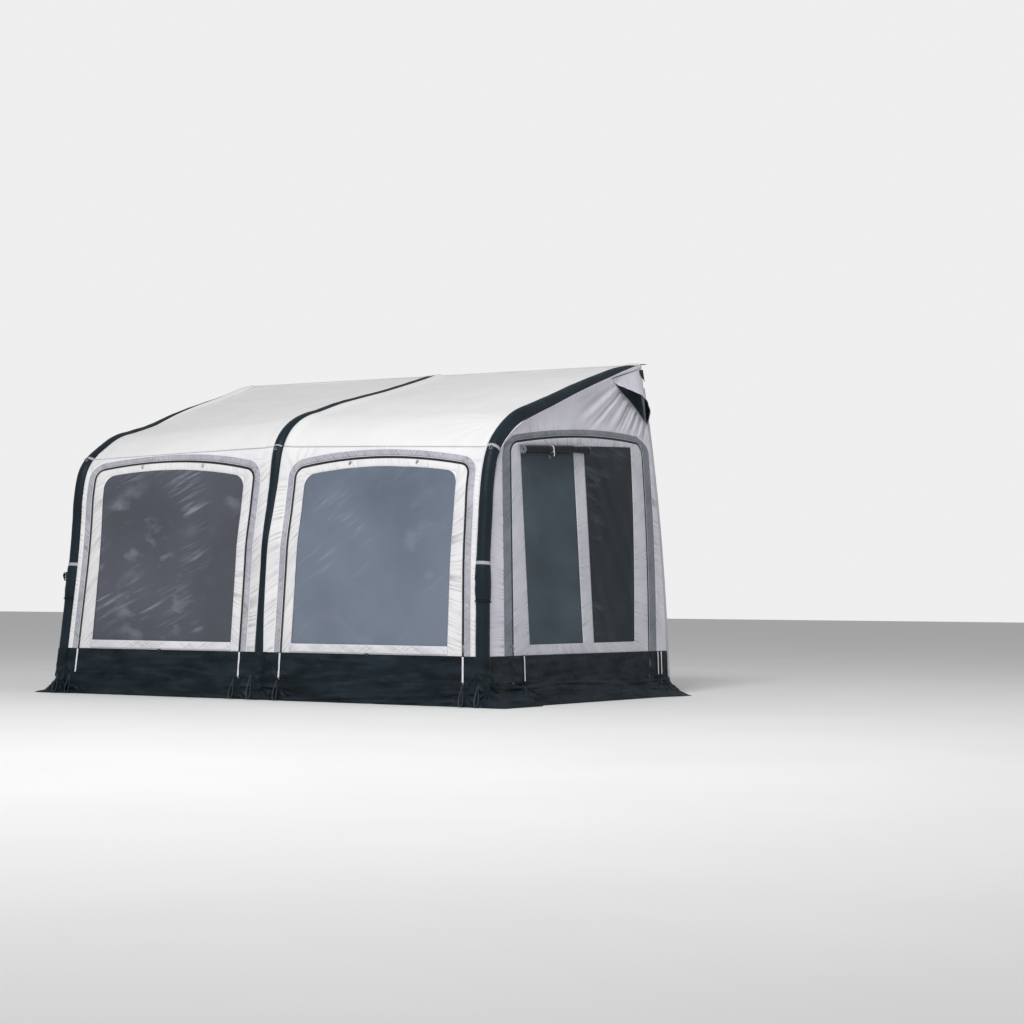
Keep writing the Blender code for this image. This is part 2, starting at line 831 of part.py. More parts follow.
def make_zips(label, side):
    """Tapes in the channels between walls and panels, and the flaps that cover them."""
    tape_line = front_arch(DARK_S, [ZIP_FOOT_S + FLAP_LIFT])
    tape = ring(offset_line(tape_line, -TAPE_HALF), offset_line(tape_line, TAPE_HALF), 1)
    name = "front_zip_tape_" + label
    cloth(name, [on_front(tape, side)], "zip_black", FRONT_OUTWARD, None, TAPE_THICKNESS)
    line = front_arch(DARK_S + GAP)
    cover = ring(offset_line(line, COVER_START), offset_line(line, FRONT_COVER_END), 1)
    grid = on_front(cover, side, SEAT)
    name = "front_zip_cover_" + label
    cloth(name, [grid], "zip_grey", FRONT_OUTWARD, None, ZIP_COVER_THICKNESS, 1.0)
    tape_line = door_arch(DARK_HEIGHT, [ZIP_FOOT + FLAP_LIFT])
    tape = ring(offset_line(tape_line, -TAPE_HALF), offset_line(tape_line, TAPE_HALF), 1)
    name = "door_zip_tape_" + label
    cloth(name, [on_door(tape, side)], "zip_black", side_outward(side), None, TAPE_THICKNESS)
    line = door_arch(DARK_HEIGHT + GAP)
    cover = ring(offset_line(line, COVER_START), offset_line(line, DOOR_COVER_END), 1)
    grid = on_door(cover, side, SEAT)
    name = "door_zip_cover_" + label
    cloth(name, [grid], "zip_grey", side_outward(side), None, ZIP_COVER_THICKNESS, 1.0)


def slider_outline():
    """Flat outline of a slider with its pull hanging down."""
    wide = SLIDER_WIDTH / 2
    narrow = PULL_WIDTH / 2
    top = SLIDER_LENGTH / 2
    half = [(wide / 2, top), (wide, top / 2), (wide, -top), (narrow, -top), (narrow, -top - PULL_LENGTH)]
    return half + [(-x, y) for x, y in reversed(half)]


def make_slider(name, point, above, outward):
    """A slider cut from flat: a filled outline given half its thickness each way."""
    curve = bpy.data.curves.new(name, "CURVE")
    curve.dimensions = "2D"
    curve.fill_mode = "BOTH"
    curve.extrude = SLIDER_THICKNESS / 2
    outline = slider_outline()
    spline = curve.splines.new("POLY")
    spline.points.add(len(outline) - 1)
    for spot, (x, y) in zip(spline.points, outline):
        spot.co = (x, y, 0.0, 1.0)
    spline.use_cyclic_u = True
    curve.materials.append(MATERIALS["metal"])
    obj = bpy.data.objects.new(name, curve)
    AWNING.objects.link(obj)
    along = (above - point).normalized()
    outward = (outward - along * outward.dot(along)).normalized()
    turn = Matrix((along.cross(outward), along, outward)).transposed().to_4x4()
    obj.parent = FOOTPRINT
    obj.matrix_local = Matrix.Translation(point + outward * (SEAT + SLIDER_THICKNESS / 2)) @ turn
    weld = obj.modifiers.new("weld", "WELD")
    weld.merge_threshold = WELD


# Front bays


def front_wall_edge(low):
    """The wall's outer edge: up the centre beam, along the seam and down the outer beam."""

    def levels(top):
        return [low] + [s for s in beam_stations() if LEG <= s < top - GAP]

    seam = seam_line(GAP)
    line = [(EDGE, s) for s in levels(seam[0][1])]
    line += seam
    return line + [(beam_x(s) - EDGE, s) for s in reversed(levels(seam[-1][1]))]


def pane(outline, columns=1):
    """Fills an outline by steps between each point and its partner on the other side."""
    rows = len(outline) // 2

    def pattern(column, row):
        a, b = outline[row], outline[-1 - row]
        t = column / columns
        return blend(a[0], b[0], t), blend(a[1], b[1], t)

    return columns, rows, pattern


def soften(obj, width):
    bevel = obj.modifiers.new("soft edges", "BEVEL")
    bevel.width = width
    bevel.segments = 2
    bevel.limit_method = "ANGLE"


def make_front_bay(label, side):
    low = DARK_S + GAP / 2
    outline = front_arch(low)

    def wall_place(x, s):
        return wall_point(side * x, s)

    under_cover = offset_line(outline, FRONT_COVER_END)
    band = on_front(ring(offset_line(outline, PANEL_CUT), under_cover, 1), side)
    rest = front_wall_edge(low) + under_cover[::-1], wall_place
    cloth("front_wall_" + label, [band], "front_fabric", FRONT_OUTWARD, fill=rest)

    carrier = pivot("front_panel_hinge_" + label, wall_point(0.0, ZIP_FOOT_S))
    window_base = length_at_height(WINDOW_BASE)
    hole = offset_line(window_arch(window_base), 0.0)
    frame = ring(hole, offset_line(outline, -PANEL_CUT), closed=True)

    def flap_inner(s):
        return front_inner(s) + PANEL_CUT

    def flap_outer(s):
        return front_outer(s) - PANEL_CUT

    flap = rectangle(flap_inner, flap_outer, ZIP_FOOT_S + FLAP_LIFT, DARK_S + GAP / 2, 1, 1)
    grids = [on_front(frame, side), on_front(flap, side)]
    cloth("front_panel_" + label, grids, "front_fabric", FRONT_OUTWARD, carrier)

    foil = pane(offset_line(window_arch(window_base + GAP), -GAP))
    cloth("window_foil_" + label, [on_front(foil, side)], "window_foil", FRONT_OUTWARD, carrier, FOIL)

    def pouch_inner(s):
        return window_inner(s) - POUCH_MARGIN

    def pouch_outer(s):
        return window_outer(s) + POUCH_MARGIN

    foot = length_at_height(POUCH_FOOT)
    pouch_grid = rectangle(pouch_inner, pouch_outer, foot, foot + POUCH_HEIGHT, 1, 1)
    pouch = cloth(
        "blind_pouch_" + label,
        [on_front(pouch_grid, side, SEAT)],
        "front_fabric",
        FRONT_OUTWARD,
        carrier,
        POUCH_THICKNESS,
        1.0,
    )
    soften(pouch, POUCH_THICKNESS / 3)

    rest = length_at_height(SLIDER_REST)
    top = rest + SLIDER_TRAVEL
    low_point = wall_point(side * front_outer(rest), rest)
    high_point = wall_point(side * front_outer(top), top)
    outward = wall_point(0.0, rest, 1.0) - wall_point(0.0, rest)
    make_slider("front_slider_" + label, low_point, high_point, outward)


# The dark skirt under the walls


def skirt_section(h, spread):
    """Distance out and height of the skirt at pattern height h, and its share of the curve."""
    if h >= ZIP_FOOT:
        return 0.0, h, 0.0
    q = (ZIP_FOOT - h) / (ZIP_FOOT + spread)
    return spread * (2 * q * (1 - q) * SPREAD_START + q * q), ZIP_FOOT * (1 - q) ** 2, q


def skirt_fold(along, q):
    """The skirt's waves grow from its seam and are spent again at its hem."""
    return FOLD_DEPTH * math.sin(2 * math.pi * along / FOLD_PITCH) * math.sin(math.pi * q)


def front_skirt_point(side, x, h, out=0.0):
    spread, z, q = skirt_section(h, FRONT_SPREAD)
    base = -FOOT_DEPTH + z * math.tan(LEG_LEAN) + CLOTH / math.cos(LEG_LEAN)
    return Vector((side * x, base - spread - out - skirt_fold(x, q) / 2, z))


def side_skirt_point(side, y, h, out=0.0):
    spread, z, q = skirt_section(h, SIDE_SPREAD)
    return side_point(side, y, z, spread - CLOTH + out + skirt_fold(y, q))


def skirt_grids(point, start, end, opening_start, opening_end, hem, fold_columns, rows=5):
    """A low band along the wall, and an upright piece at each side of the opening over it."""
    upright_columns = 2

    def edges(h):
        return start(h), opening_start(h), opening_end(h), end(h)

    def along(h, column):
        a, b, c, d = edges(h)
        if column <= upright_columns:
            return blend(a, b, column / upright_columns)
        if column <= upright_columns + fold_columns:
            return blend(b, c, (column - upright_columns) / fold_columns)
        return blend(c, d, (column - upright_columns - fold_columns) / upright_columns)

    def band(column, row):
        h = blend(ZIP_FOOT, hem, row / rows)
        return point(along(h, column), h)

    def first_upright(column, row):
        h = blend(ZIP_FOOT, DARK_HEIGHT - GAP / 2, row)
        return point(along(h, column), h)

    def last_upright(column, row):
        h = blend(ZIP_FOOT, DARK_HEIGHT - GAP / 2, row)
        return point(along(h, column + upright_columns + fold_columns), h)

    return [
        (2 * upright_columns + fold_columns, rows, band),
        (upright_columns, 1, first_upright),
        (upright_columns, 1, last_upright),
    ]


def make_front_skirt(label, side):
    def point(x, h):
        return front_skirt_point(side, x, h)

    def centre_edge(h):
        return EDGE

    def beam_edge(h):
        return beam_x(max(h, 0.0)) - EDGE

    def inner_zip(h):
        return front_inner(h) - PANEL_CUT

    def outer_zip(h):
        return front_outer(max(h, 0.0)) + PANEL_CUT

    grids = skirt_grids(point, centre_edge, beam_edge, inner_zip, outer_zip, -FRONT_SPREAD, 20)
    cloth("front_skirt_" + label, grids, "dark_fabric", FRONT_OUTWARD, offset=1.0)


SKIRT_TIP = 0.08  # the side skirt's hem reaches this far in front of the beam's foot


def beam_edge_y(z):
    """Where the side wall's front edge is, below the bend."""
    return -FOOT_DEPTH + z * math.tan(LEG_LEAN) + (BEAM_SINK + side_edge(0.0)) / math.cos(LEG_LEAN)


def make_side_skirt(label, side):
    def point(y, h):
        return side_skirt_point(side, y, h)

    def front_edge(h):
        _, z, q = skirt_section(h, SIDE_SPREAD)
        return beam_edge_y(z) + GAP - SKIRT_TIP * max(0.0, 2 * q - 1)

    def rear_edge(h):
        return 0.0

    def front_zip(h):
        return door_front(max(h, 0.0)) - PANEL_CUT - GAP

    def rear_zip(h):
        return door_rear(max(h, 0.0)) + PANEL_CUT + GAP

    grids = skirt_grids(point, front_edge, rear_edge, front_zip, rear_zip, -SIDE_SPREAD, 24)
    cloth("side_skirt_" + label, grids, "dark_fabric", side_outward(side), offset=1.0)


# Side walls with their doors and vents


def wall_edge(s):
    """The side wall's edge, where it is sewn to the outer beam's cover."""
    return profile(s, -(BEAM_SINK + side_edge(s)))


def length_at_depth(y):
    """Distance along the shell at which the side wall's upper edge is at y, on the roof's run."""
    depth = BEAM_SINK + side_edge(TOTAL)
    return TOTAL + (y - depth * math.sin(ROOF_PITCH)) / math.cos(ROOF_PITCH)


def vent_corners():
    """Upper front, lower front, lower rear and upper rear corner of the vent."""
    upper_front = wall_edge(length_at_depth(-VENT_LENGTH))
    lower_front = (upper_front[0], upper_front[1] - VENT_SHORT_SIDE)
    return upper_front, lower_front, (0.0, VENT_FOOT), wall_edge(length_at_depth(0.0))


def side_wall_edge(low):
    """Outer edge of a side wall: up the beam, under the vent and down the vehicle's side."""
    upper_front, lower_front, lower_rear, _ = vent_corners()
    vent_start = length_at_depth(-VENT_LENGTH - GAP)
    line = [(beam_edge_y(low), low)]
    line += [wall_edge(s) for s in beam_stations() if LEG <= s < vent_start]
    line.append(wall_edge(vent_start))
    line.append((lower_front[0] - GAP, lower_front[1] - GAP))
    line.append((lower_rear[0], lower_rear[1] - GAP))
    return line + [(0.0, z) for z in spaced(VENT_FOOT, low, 5)[1:]]


def make_side_wall(label, side):
    low = DARK_HEIGHT + GAP / 2
    outline = door_arch(low)

    def wall_place(y, z):
        return side_point(side, y, z)

    under_cover = offset_line(outline, DOOR_COVER_END)
    band = on_door(ring(offset_line(outline, PANEL_CUT), under_cover, 1), side)
    rest = side_wall_edge(low) + [tilt(*point) for point in under_cover[::-1]], wall_place
    cloth("side_wall_" + label, [band], "side_fabric", side_outward(side), fill=rest)


def make_vent(label, side):
    upper_front, lower_front, lower_rear, upper_rear = vent_corners()
    columns, rows = 6, 3

    def mesh_place(column, row):
        t = column / columns
        top = (blend(upper_front[0], upper_rear[0], t), blend(upper_front[1], upper_rear[1], t))
        low = (blend(lower_front[0], lower_rear[0], t), blend(lower_front[1], lower_rear[1], t))
        share = row / rows
        return side_point(side, blend(top[0], low[0], share), blend(top[1], low[1], share))

    cloth("vent_mesh_" + label, [(columns, rows, mesh_place)], "mesh_fabric", side_outward(side))

    def hood_place(column, row):
        t = column / columns
        swell = math.sin(math.pi * t)
        inset = blend(HOOD_DROP, -HOOD_DROP, t)
        top_y = blend(upper_front[0], upper_rear[0], t) + inset
        top_z = blend(upper_front[1], upper_rear[1], t) - HOOD_DROP
        low_y = blend(lower_front[0], lower_rear[0], t) + inset
        low_z = blend(lower_front[1], lower_rear[1], t) + HOOD_RAISE * swell
        share = row / rows
        out = SEAT + HOOD_REACH * swell * share**1.2
        return side_point(side, blend(top_y, low_y, share), blend(top_z, low_z, share), out)

    grid = (columns, rows, hood_place)
    cloth("vent_hood_" + label, [grid], "side_fabric", side_outward(side), None, FOIL, 1.0)


def pane_rear(h):
    return -PANE_REAR + PANE_REAR_LEAN * (h - PANE_BASE)


def make_door(label, side):
    low = DARK_HEIGHT + GAP / 2
    outline = door_arch(low)
    hinge_y = door_front(ZIP_FOOT) + TAPE_HALF + GAP / 2
    carrier = pivot("door_hinge_" + label, side_point(side, hinge_y, ZIP_FOOT))
    edge = offset_line(outline, -PANEL_CUT)
    upright = spaced(PANE_BASE, PANE_TOP, DOOR_SIDE_STEPS)
    post_rear = POST_FRONT - POST_WIDTH
    half = (len(edge) - 2 * len(upright) - 1) // 2
    hole = [(-PANE_FRONT, h) for h in upright]
    hole += [(y, PANE_TOP) for y in spaced(-PANE_FRONT, -POST_FRONT, half)[1:]]
    hole += [(y, PANE_TOP) for y in spaced(-post_rear, pane_rear(PANE_TOP), half + 1)[:-1]]
    hole += [(pane_rear(h), h) for h in reversed(upright)]
    feet = [hole[0], (-POST_FRONT, PANE_BASE), (-post_rear, PANE_BASE), hole[-1]]
    base = [edge[0], (-POST_FRONT, low), (-post_rear, low), edge[-1]]
    flap_foot = ZIP_FOOT + FLAP_LIFT
    flap_ends = door_front(flap_foot) + PANEL_CUT, door_rear(flap_foot) - PANEL_CUT
    flap = [(y, flap_foot) for y in (flap_ends[0], -POST_FRONT, -post_rear, flap_ends[1])]

    def post_front(h):
        return -POST_FRONT

    def post_back(h):
        return -post_rear

    post = rectangle(post_front, post_back, PANE_BASE, PANE_TOP, 1, 4)
    grids = [on_door(grid, side) for grid in (ring(hole, edge), ring(feet, base), ring(base, flap, 1), post)]
    cloth("door_panel_" + label, grids, "side_fabric", side_outward(side), carrier)

    def mesh_left(h):
        return -PANE_FRONT + GAP

    def mesh_right(h):
        return -POST_FRONT - GAP

    def foil_left(h):
        return -post_rear + GAP

    def foil_right(h):
        return pane_rear(h) - GAP

    mesh = rectangle(mesh_left, mesh_right, PANE_BASE + GAP, PANE_TOP - GAP, 2, 4)
    foil = rectangle(foil_left, foil_right, PANE_BASE + GAP, PANE_TOP - GAP, 2, 4)
    outward = side_outward(side)
    cloth("door_mesh_" + label, [on_door(mesh, side)], "mesh_fabric", outward, carrier, FOIL)
    cloth("door_foil_" + label, [on_door(foil, side)], "window_foil", outward, carrier, FOIL)

    make_blind_roll(label, side, carrier)

    top = SLIDER_REST + SLIDER_TRAVEL
    low_point = side_point(side, door_front(SLIDER_REST), SLIDER_REST)
    high_point = side_point(side, door_front(top), top)
    rearward = side_point(side, door_front(SLIDER_REST) + 1.0, SLIDER_REST) - low_point
    slider_out = (high_point - low_point).cross(rearward) * -side
    make_slider("door_slider_" + label, low_point, high_point, slider_out.normalized())


def make_blind_roll(label, side, carrier):
    """The door's blind, rolled up and tied over its mesh pane: one sheet wound on itself."""
    level = PANE_TOP + DOOR_TILT * (DOOR_FRONT - PANE_FRONT) * 0.9
    rise = DOOR_TILT * ROLL_LENGTH * 0.9
    start = side_point(side, -ROLL_START, level - ROLL_RADIUS)
    end = side_point(side, -ROLL_START + ROLL_LENGTH, level - ROLL_RADIUS + rise)
    along = (end - start).normalized()
    out = Vector((side, 0.0, 0.0))
    out = (out - along * out.dot(along)).normalized()
    up = along.cross(out)
    steps = 36
    line = [blend(start, end, t) for t in spaced(0.0, 1.0, steps)]
    bulge = max(side_x(point.y, point.z) - abs(point.x) for point in line)
    stand = ROLL_RADIUS - ROLL_CLOTH / 2 + SEAT + bulge

    def place(column, row):
        t = column / steps
        angle = 2 * math.pi * ROLL_TURNS * t
        radius = blend(ROLL_CORE, ROLL_RADIUS - ROLL_CLOTH, t)
        spot = out * (math.cos(angle) * radius + stand) + up * (math.sin(angle) * radius)
        return blend(start, end, row) + spot

    cloth("blind_roll_" + label, [(steps, 1, place)], "dark_fabric", (0, 0, 0), carrier, ROLL_CLOTH, 0.0)


def make_rear_pad(label, side):
    """Foam pad that seals the wall's rear edge against the vehicle."""
    rows = 8

    def place(column, row):
        z = PAD_TOP * row / rows
        return Vector((side * (side_x(0.0, z) - PAD_WIDTH * column), GAP, z))

    cloth("rear_pad_" + label, [(1, rows, place)], "foam_pad", (0, 1, 0), None, PAD_DEPTH, 1.0)


make_beams()
make_valves()
make_braces()
make_pockets()
make_roof()
make_keder()
for side_name, side_sign in SIDES.items():
    make_zips(side_name, side_sign)
    make_front_bay(side_name, side_sign)
    make_front_skirt(side_name, side_sign)
    make_side_wall(side_name, side_sign)
    make_side_skirt(side_name, side_sign)
    make_vent(side_name, side_sign)
    make_door(side_name, side_sign)
    make_rear_pad(side_name, side_sign)
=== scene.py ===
import bpy
import numpy as np
from mathutils import Matrix


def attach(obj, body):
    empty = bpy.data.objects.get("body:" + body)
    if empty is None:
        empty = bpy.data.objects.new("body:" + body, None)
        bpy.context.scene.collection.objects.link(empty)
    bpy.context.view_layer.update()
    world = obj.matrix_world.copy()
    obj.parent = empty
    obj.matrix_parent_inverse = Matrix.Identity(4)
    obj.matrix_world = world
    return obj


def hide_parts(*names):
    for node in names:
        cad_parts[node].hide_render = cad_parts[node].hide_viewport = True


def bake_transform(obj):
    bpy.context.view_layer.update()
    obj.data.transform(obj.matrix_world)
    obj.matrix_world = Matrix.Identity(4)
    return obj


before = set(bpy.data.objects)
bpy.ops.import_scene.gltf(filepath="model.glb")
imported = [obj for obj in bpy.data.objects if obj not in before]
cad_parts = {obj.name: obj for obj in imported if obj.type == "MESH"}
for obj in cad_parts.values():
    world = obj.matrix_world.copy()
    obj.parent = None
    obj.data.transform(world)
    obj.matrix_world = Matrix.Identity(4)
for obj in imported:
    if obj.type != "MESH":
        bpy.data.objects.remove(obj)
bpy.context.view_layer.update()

# A campervan awning: three inflated beams carry a sewn cloth shell.
# Metres, Z up, X along the keder, the front of the awning faces -Y. The shell's own frame has
# y = 0 at the keder; everything is moved back by "centreY" as it goes into its mesh.

sides = {"left": -1, "right": 1}
beams = {"left": -1, "centre": 0, "right": 1}
pi = np.pi

shell = {
    "footDepth": 2.50,
    "railHeight": 2.645,
    "legLean": np.radians(5.0),
    "roofPitch": np.radians(15.95),
    "shoulderRadius": 0.80,
    "footHalfWidth": 1.93,
    "sideFlare": 0.108,
    "sideLean": 0.0625,
    "railPull": 0.105,
    "pullStart": 0.25,
    "beamRadius": 0.050,
    "beamSink": 0.020,
    "seamHeight": 1.834,
    "seamRise": 0.065,
    "darkHeight": 0.35,
    "zipFoot": 0.155,
    "centreY": 1.23981,
    "clothThickness": 0.0016,
}

across = np.cos(shell["legLean"] + shell["roofPitch"])
legFull = ((shell["railHeight"] * np.cos(shell["roofPitch"])
    - shell["footDepth"] * np.sin(shell["roofPitch"])) / across)
roofFull = ((shell["footDepth"] * np.cos(shell["legLean"]) - shell["railHeight"] * np.sin(shell["legLean"]))
    / across)
turn = pi / 2 - shell["legLean"] - shell["roofPitch"]
tangent = shell["shoulderRadius"] * np.tan(turn / 2)
legLength = legFull - tangent
bendEnd = legLength + shell["shoulderRadius"] * turn
total = bendEnd + roofFull - tangent


def smooth(t):  # 0 to 1, level at both ends
    t = np.clip(t, 0.0, 1.0)
    return t * t * (3 - 2 * t)


def mix(a, b, t):
    return a + (b - a) * t


def heading(s):  # angle of the shell's line above the level, at distance s from the foot
    bend = np.clip(np.asarray(s, float) - legLength, 0.0, bendEnd - legLength)
    return pi / 2 - shell["legLean"] - bend / shell["shoulderRadius"]


def profile(s, out=0.0):  # y and z along the line: a straight leg, an arc and a straight roof
    s = np.asarray(s, float)
    lean, radius, angle = shell["legLean"], shell["shoulderRadius"], heading(s)
    straight = np.minimum(s, legLength)
    footY = -shell["footDepth"]
    middleY = footY + legLength * np.sin(lean) + radius * np.cos(lean)
    middleZ = legLength * np.cos(lean) - radius * np.sin(lean)
    beyond = np.maximum(s - bendEnd, 0.0)
    y = np.where(s > legLength, middleY - radius * np.sin(angle), footY + straight * np.sin(lean))
    z = np.where(s > legLength, middleZ + radius * np.cos(angle), straight * np.cos(lean))
    y = y + beyond * np.cos(shell["roofPitch"]) - out * np.sin(angle)
    z = z + beyond * np.sin(shell["roofPitch"]) + out * np.cos(angle)
    return y, z


lengthTable = np.linspace(-0.1, total + 0.1, 8001)
heightTable = profile(lengthTable)[1]


def lengthAt(height):  # distance along the line at which it reaches a height
    return np.interp(height, heightTable, lengthTable)


def rounded(places, values, s, blur=6.0):  # a table read with soft corners
    fine = np.linspace(0, total, 400)
    bell = np.exp(-0.5 * (np.arange(-24, 25) / blur) ** 2)
    table = np.convolve(np.pad(np.interp(fine, places, values), 24, "edge"), bell / bell.sum(), "valid")
    return np.interp(s, fine, table)


sprung = {  # how far each beam's line springs out of the plain profile, by distance from its foot
    "at": [1.0, 1.15, 1.30, 1.45, 1.60, 1.72, 1.82, 1.93, 2.04, 2.20, 2.40, 2.75, 3.10, 3.40, 3.80, 4.10,
        4.25],
    "left": [0, 0.004, 0.014, 0.030, 0.052, 0.072, 0.062, 0.016, -0.014, -0.036, -0.060, -0.068, -0.043,
        -0.036, -0.033, -0.016, 0],
    "centre": [0, 0.004, -0.014, -0.036, -0.034, -0.006, 0.034, 0.072, 0.080, 0.062, 0.038, 0.042, 0.026,
        0.010, 0, -0.004, 0],
    "right": [0, -0.008, -0.022, -0.032, -0.030, -0.018, -0.008, 0, -0.006, -0.006, 0, 0.010, 0.026, 0.030,
        0.026, 0.012, 0],
}


def bow(side, x, s):  # the same for the cloth between the beams
    middle = rounded(sprung["at"], sprung["centre"], s, 4.5)
    outer = rounded(sprung["at"], sprung["left" if side < 0 else "right"], s, 4.5)
    return mix(middle, outer, np.clip(np.abs(x) / 1.85, 0, 1))


def sideX(y, z):  # how far out a side wall is: it flares to the rear, leans in, and the keder draws it in
    share = np.maximum(0.0, (y + shell["footDepth"]) / shell["footDepth"] * z / shell["railHeight"]
        - shell["pullStart"])
    pull = share / (1 - shell["pullStart"])
    flare = shell["sideFlare"] * (y + shell["footDepth"]) - shell["sideLean"] * z
    return shell["footHalfWidth"] + flare - shell["railPull"] * pull**2


def onFront(side, x, s, out=0.0):  # point of the front wall or roof
    y, z = profile(s, out + bow(side, x, s))
    return np.stack(np.broadcast_arrays(side * x, y, z), -1)


def onSide(side, y, z, out=0.0):  # point of a side wall
    return np.stack(np.broadcast_arrays(side * (sideX(y, z) + out), y, z), -1)


def beamX(s, side=0):  # how far out an outer beam's axis is
    return sideX(*profile(s, bow(side, 1.85, s) if side else 0.0)) - shell["beamSink"]


def seamLength(x, side=1):  # the seam between front wall and roof climbs towards the centre beam
    share = np.maximum(0.0, 1 - np.abs(x) / (shell["footHalfWidth"]
        - shell["sideLean"] * shell["seamHeight"]))
    height = shell["seamHeight"] + shell["seamRise"] * share
    s = lengthAt(height)
    return lengthAt(height - bow(side or 1, x, s) * np.cos(heading(s)))


def aroundBeam(side, s, radius, angle):  # angle 0 looks out of the shell, 90 degrees out sideways
    lean = heading(s)
    y, z = profile(s, bow(side or 1, 1.85 * abs(side), s) - shell["beamSink"])
    x = side * beamX(s, side) if side else 0.0 * y
    away, sideways = radius * np.cos(angle), radius * np.sin(angle) * (side or 1)
    return np.stack(np.broadcast_arrays(x + sideways, y - away * np.sin(lean), z + away * np.cos(lean)), -1)


# Wrinkles


def wrinkled(a, pitch, seed):  # a wave whose pitch and strength wander
    phase = np.random.default_rng(seed).uniform(0, 2 * pi, 5)
    warped = (a + pitch * (0.45 * np.sin(2 * pi * a / (pitch * 3.7) + phase[0])
        + 0.6 * np.sin(2 * pi * a / (pitch * 9.1) + phase[1])))
    strength = (0.66 + 0.34 * np.sin(2 * pi * a / (pitch * 6.3) + phase[2])
        * np.sin(2 * pi * a / (pitch * 14.7) + phase[3]))
    return np.abs(np.sin(pi * warped / pitch + phase[4])), strength


def humps(a, pitch, seed):  # round humps with sharp valleys: the wave, rectified
    wave, strength = wrinkled(a, pitch, seed)
    return wave * strength


def valleys(a, pitch, seed):  # how deep in such a valley a point is, 0 to 1; used as painted shade
    wave, strength = wrinkled(a, pitch, seed)
    return (1 - wave) ** 1.8 * (1.5 * strength - 0.3)


def swell(a, b, size, seed, count=9):  # soft random hills: a sum of plane waves in all directions, -1 to 1
    rng = np.random.default_rng(seed)
    angle, phase = rng.uniform(0, 2 * pi, count), rng.uniform(0, 2 * pi, count)
    pitch = size * rng.uniform(0.7, 1.6, count)
    rise = 0.0
    for k in range(count):
        rise = rise + np.sin(2 * pi * (a * np.cos(angle[k]) + b * np.sin(angle[k])) / pitch[k] + phase[k])
    return rise / np.sqrt(count * 2.0)


def puckers(along, off, width, pitch, slant, seed, reach=0.06, second=0.6):
    # creases that run from both seams of a band into the cloth: humps sheared by slant, fading with distance;
    # gives their height and the painted shade of their valleys
    lean = slant * (1 + 0.8 * np.sin(along * 3.1 + seed))
    near, far = (np.exp(-np.clip(off, 0, None) / reach),
        second * np.exp(-np.clip(width - off, 0, None) / reach))
    one, two = along - lean * off, along + lean * (width - off)
    hem = smooth(off / 0.006) * smooth((width - off) / 0.006)
    height = (humps(one, pitch, seed) * near + humps(two, pitch * 1.13, seed + 1) * far) * hem
    shade = (valleys(one, pitch, seed) * near + valleys(two, pitch * 1.13, seed + 1) * far) * hem
    return height, np.clip(1.3 * shade, 0, 1)


# Outlines and meshes


def archLine(left, right, low, crown, rise, fillet, counts):
    # up the left side, round a fillet, over one shallow arc, round a fillet and down the right side;
    # gives points and outward normals
    up, corner, top = counts
    level = crown - rise - fillet
    for _ in range(4):
        a, b = left(level), right(level)
        half, middle = (b - a) / 2, (a + b) / 2
        radius = (half**2 + rise**2) / (2 * rise)
        reach = half - fillet
        level = crown - radius + np.sqrt((radius - fillet) ** 2 - reach**2)
    meet = np.arcsin(reach / (radius - fillet))
    rising, falling = np.linspace(low, level, up, endpoint=False), np.linspace(level, low, up + 1)
    turns = [
        np.linspace(pi, pi / 2 + meet, corner, endpoint=False),
        np.linspace(pi / 2 + meet, pi / 2 - meet, top, endpoint=False),
        np.linspace(pi / 2 - meet, 0, corner, endpoint=False),
    ]
    centres = [(a + fillet, level, fillet), (middle, crown - radius, radius), (b - fillet, level, fillet)]
    points = [np.stack([left(rising) + 0 * rising, rising], -1)]
    normals = [np.tile([-1.0, 0.0], (up, 1))]
    for angles, (cx, cz, r) in zip(turns, centres):
        n = np.stack([np.cos(angles), np.sin(angles)], -1)
        points.append(np.array([cx, cz]) + r * n)
        normals.append(n)
    points.append(np.stack([right(falling) + 0 * falling, falling], -1))
    normals.append(np.tile([1.0, 0.0], (up + 1, 1)))
    return np.concatenate(points), np.concatenate(normals)


def walk(line):  # length along a line of points
    steps = np.linalg.norm(np.diff(line, axis=0), axis=1)
    return np.concatenate([[0.0], np.cumsum(steps)])


def spread(line, count, last=False):  # count points, evenly spaced along a line
    line = np.asarray(line, float)
    done = walk(line)
    at = np.linspace(0, done[-1], count, endpoint=last)
    return np.stack([np.interp(at, done, line[:, k]) for k in range(line.shape[1])], -1)


def between(inner, outer, rows, even=0.5):  # grid of points from one line to the other, closer at the seams
    t = np.linspace(0, 1, rows)
    t = mix((1 - np.cos(pi * t)) / 2, t, even)[:, None]
    gap = np.linalg.norm(outer - inner, axis=1)[None, :]
    grid = inner[None] + (outer - inner)[None] * t[..., None]
    return grid, t * gap, gap * np.ones_like(t), np.broadcast_to(walk(inner)[None], grid.shape[:2])


def gridFaces(rows, columns):  # the corners of each quad of a grid
    a = (np.arange(rows - 1)[:, None] * columns + np.arange(columns - 1)[None]).reshape(-1)
    return np.stack([a, a + 1, a + columns + 1, a + columns], -1)


# the last argument is painted shading, 0 to 1: painted shade in creases and shadows of pale cloth, painted
# highlights on dark cloth
def patch(points, u, v, seam=None, paintedShading=0.0):
    shape = points.shape[:2]
    uv = np.stack(np.broadcast_arrays(u, v, np.zeros(shape)), -1)[..., :2]
    near = np.broadcast_to(0.1 if seam is None else seam, shape)
    return {"points": points, "uv": uv, "seam": np.stack([near, np.broadcast_to(paintedShading, shape)], -1)}


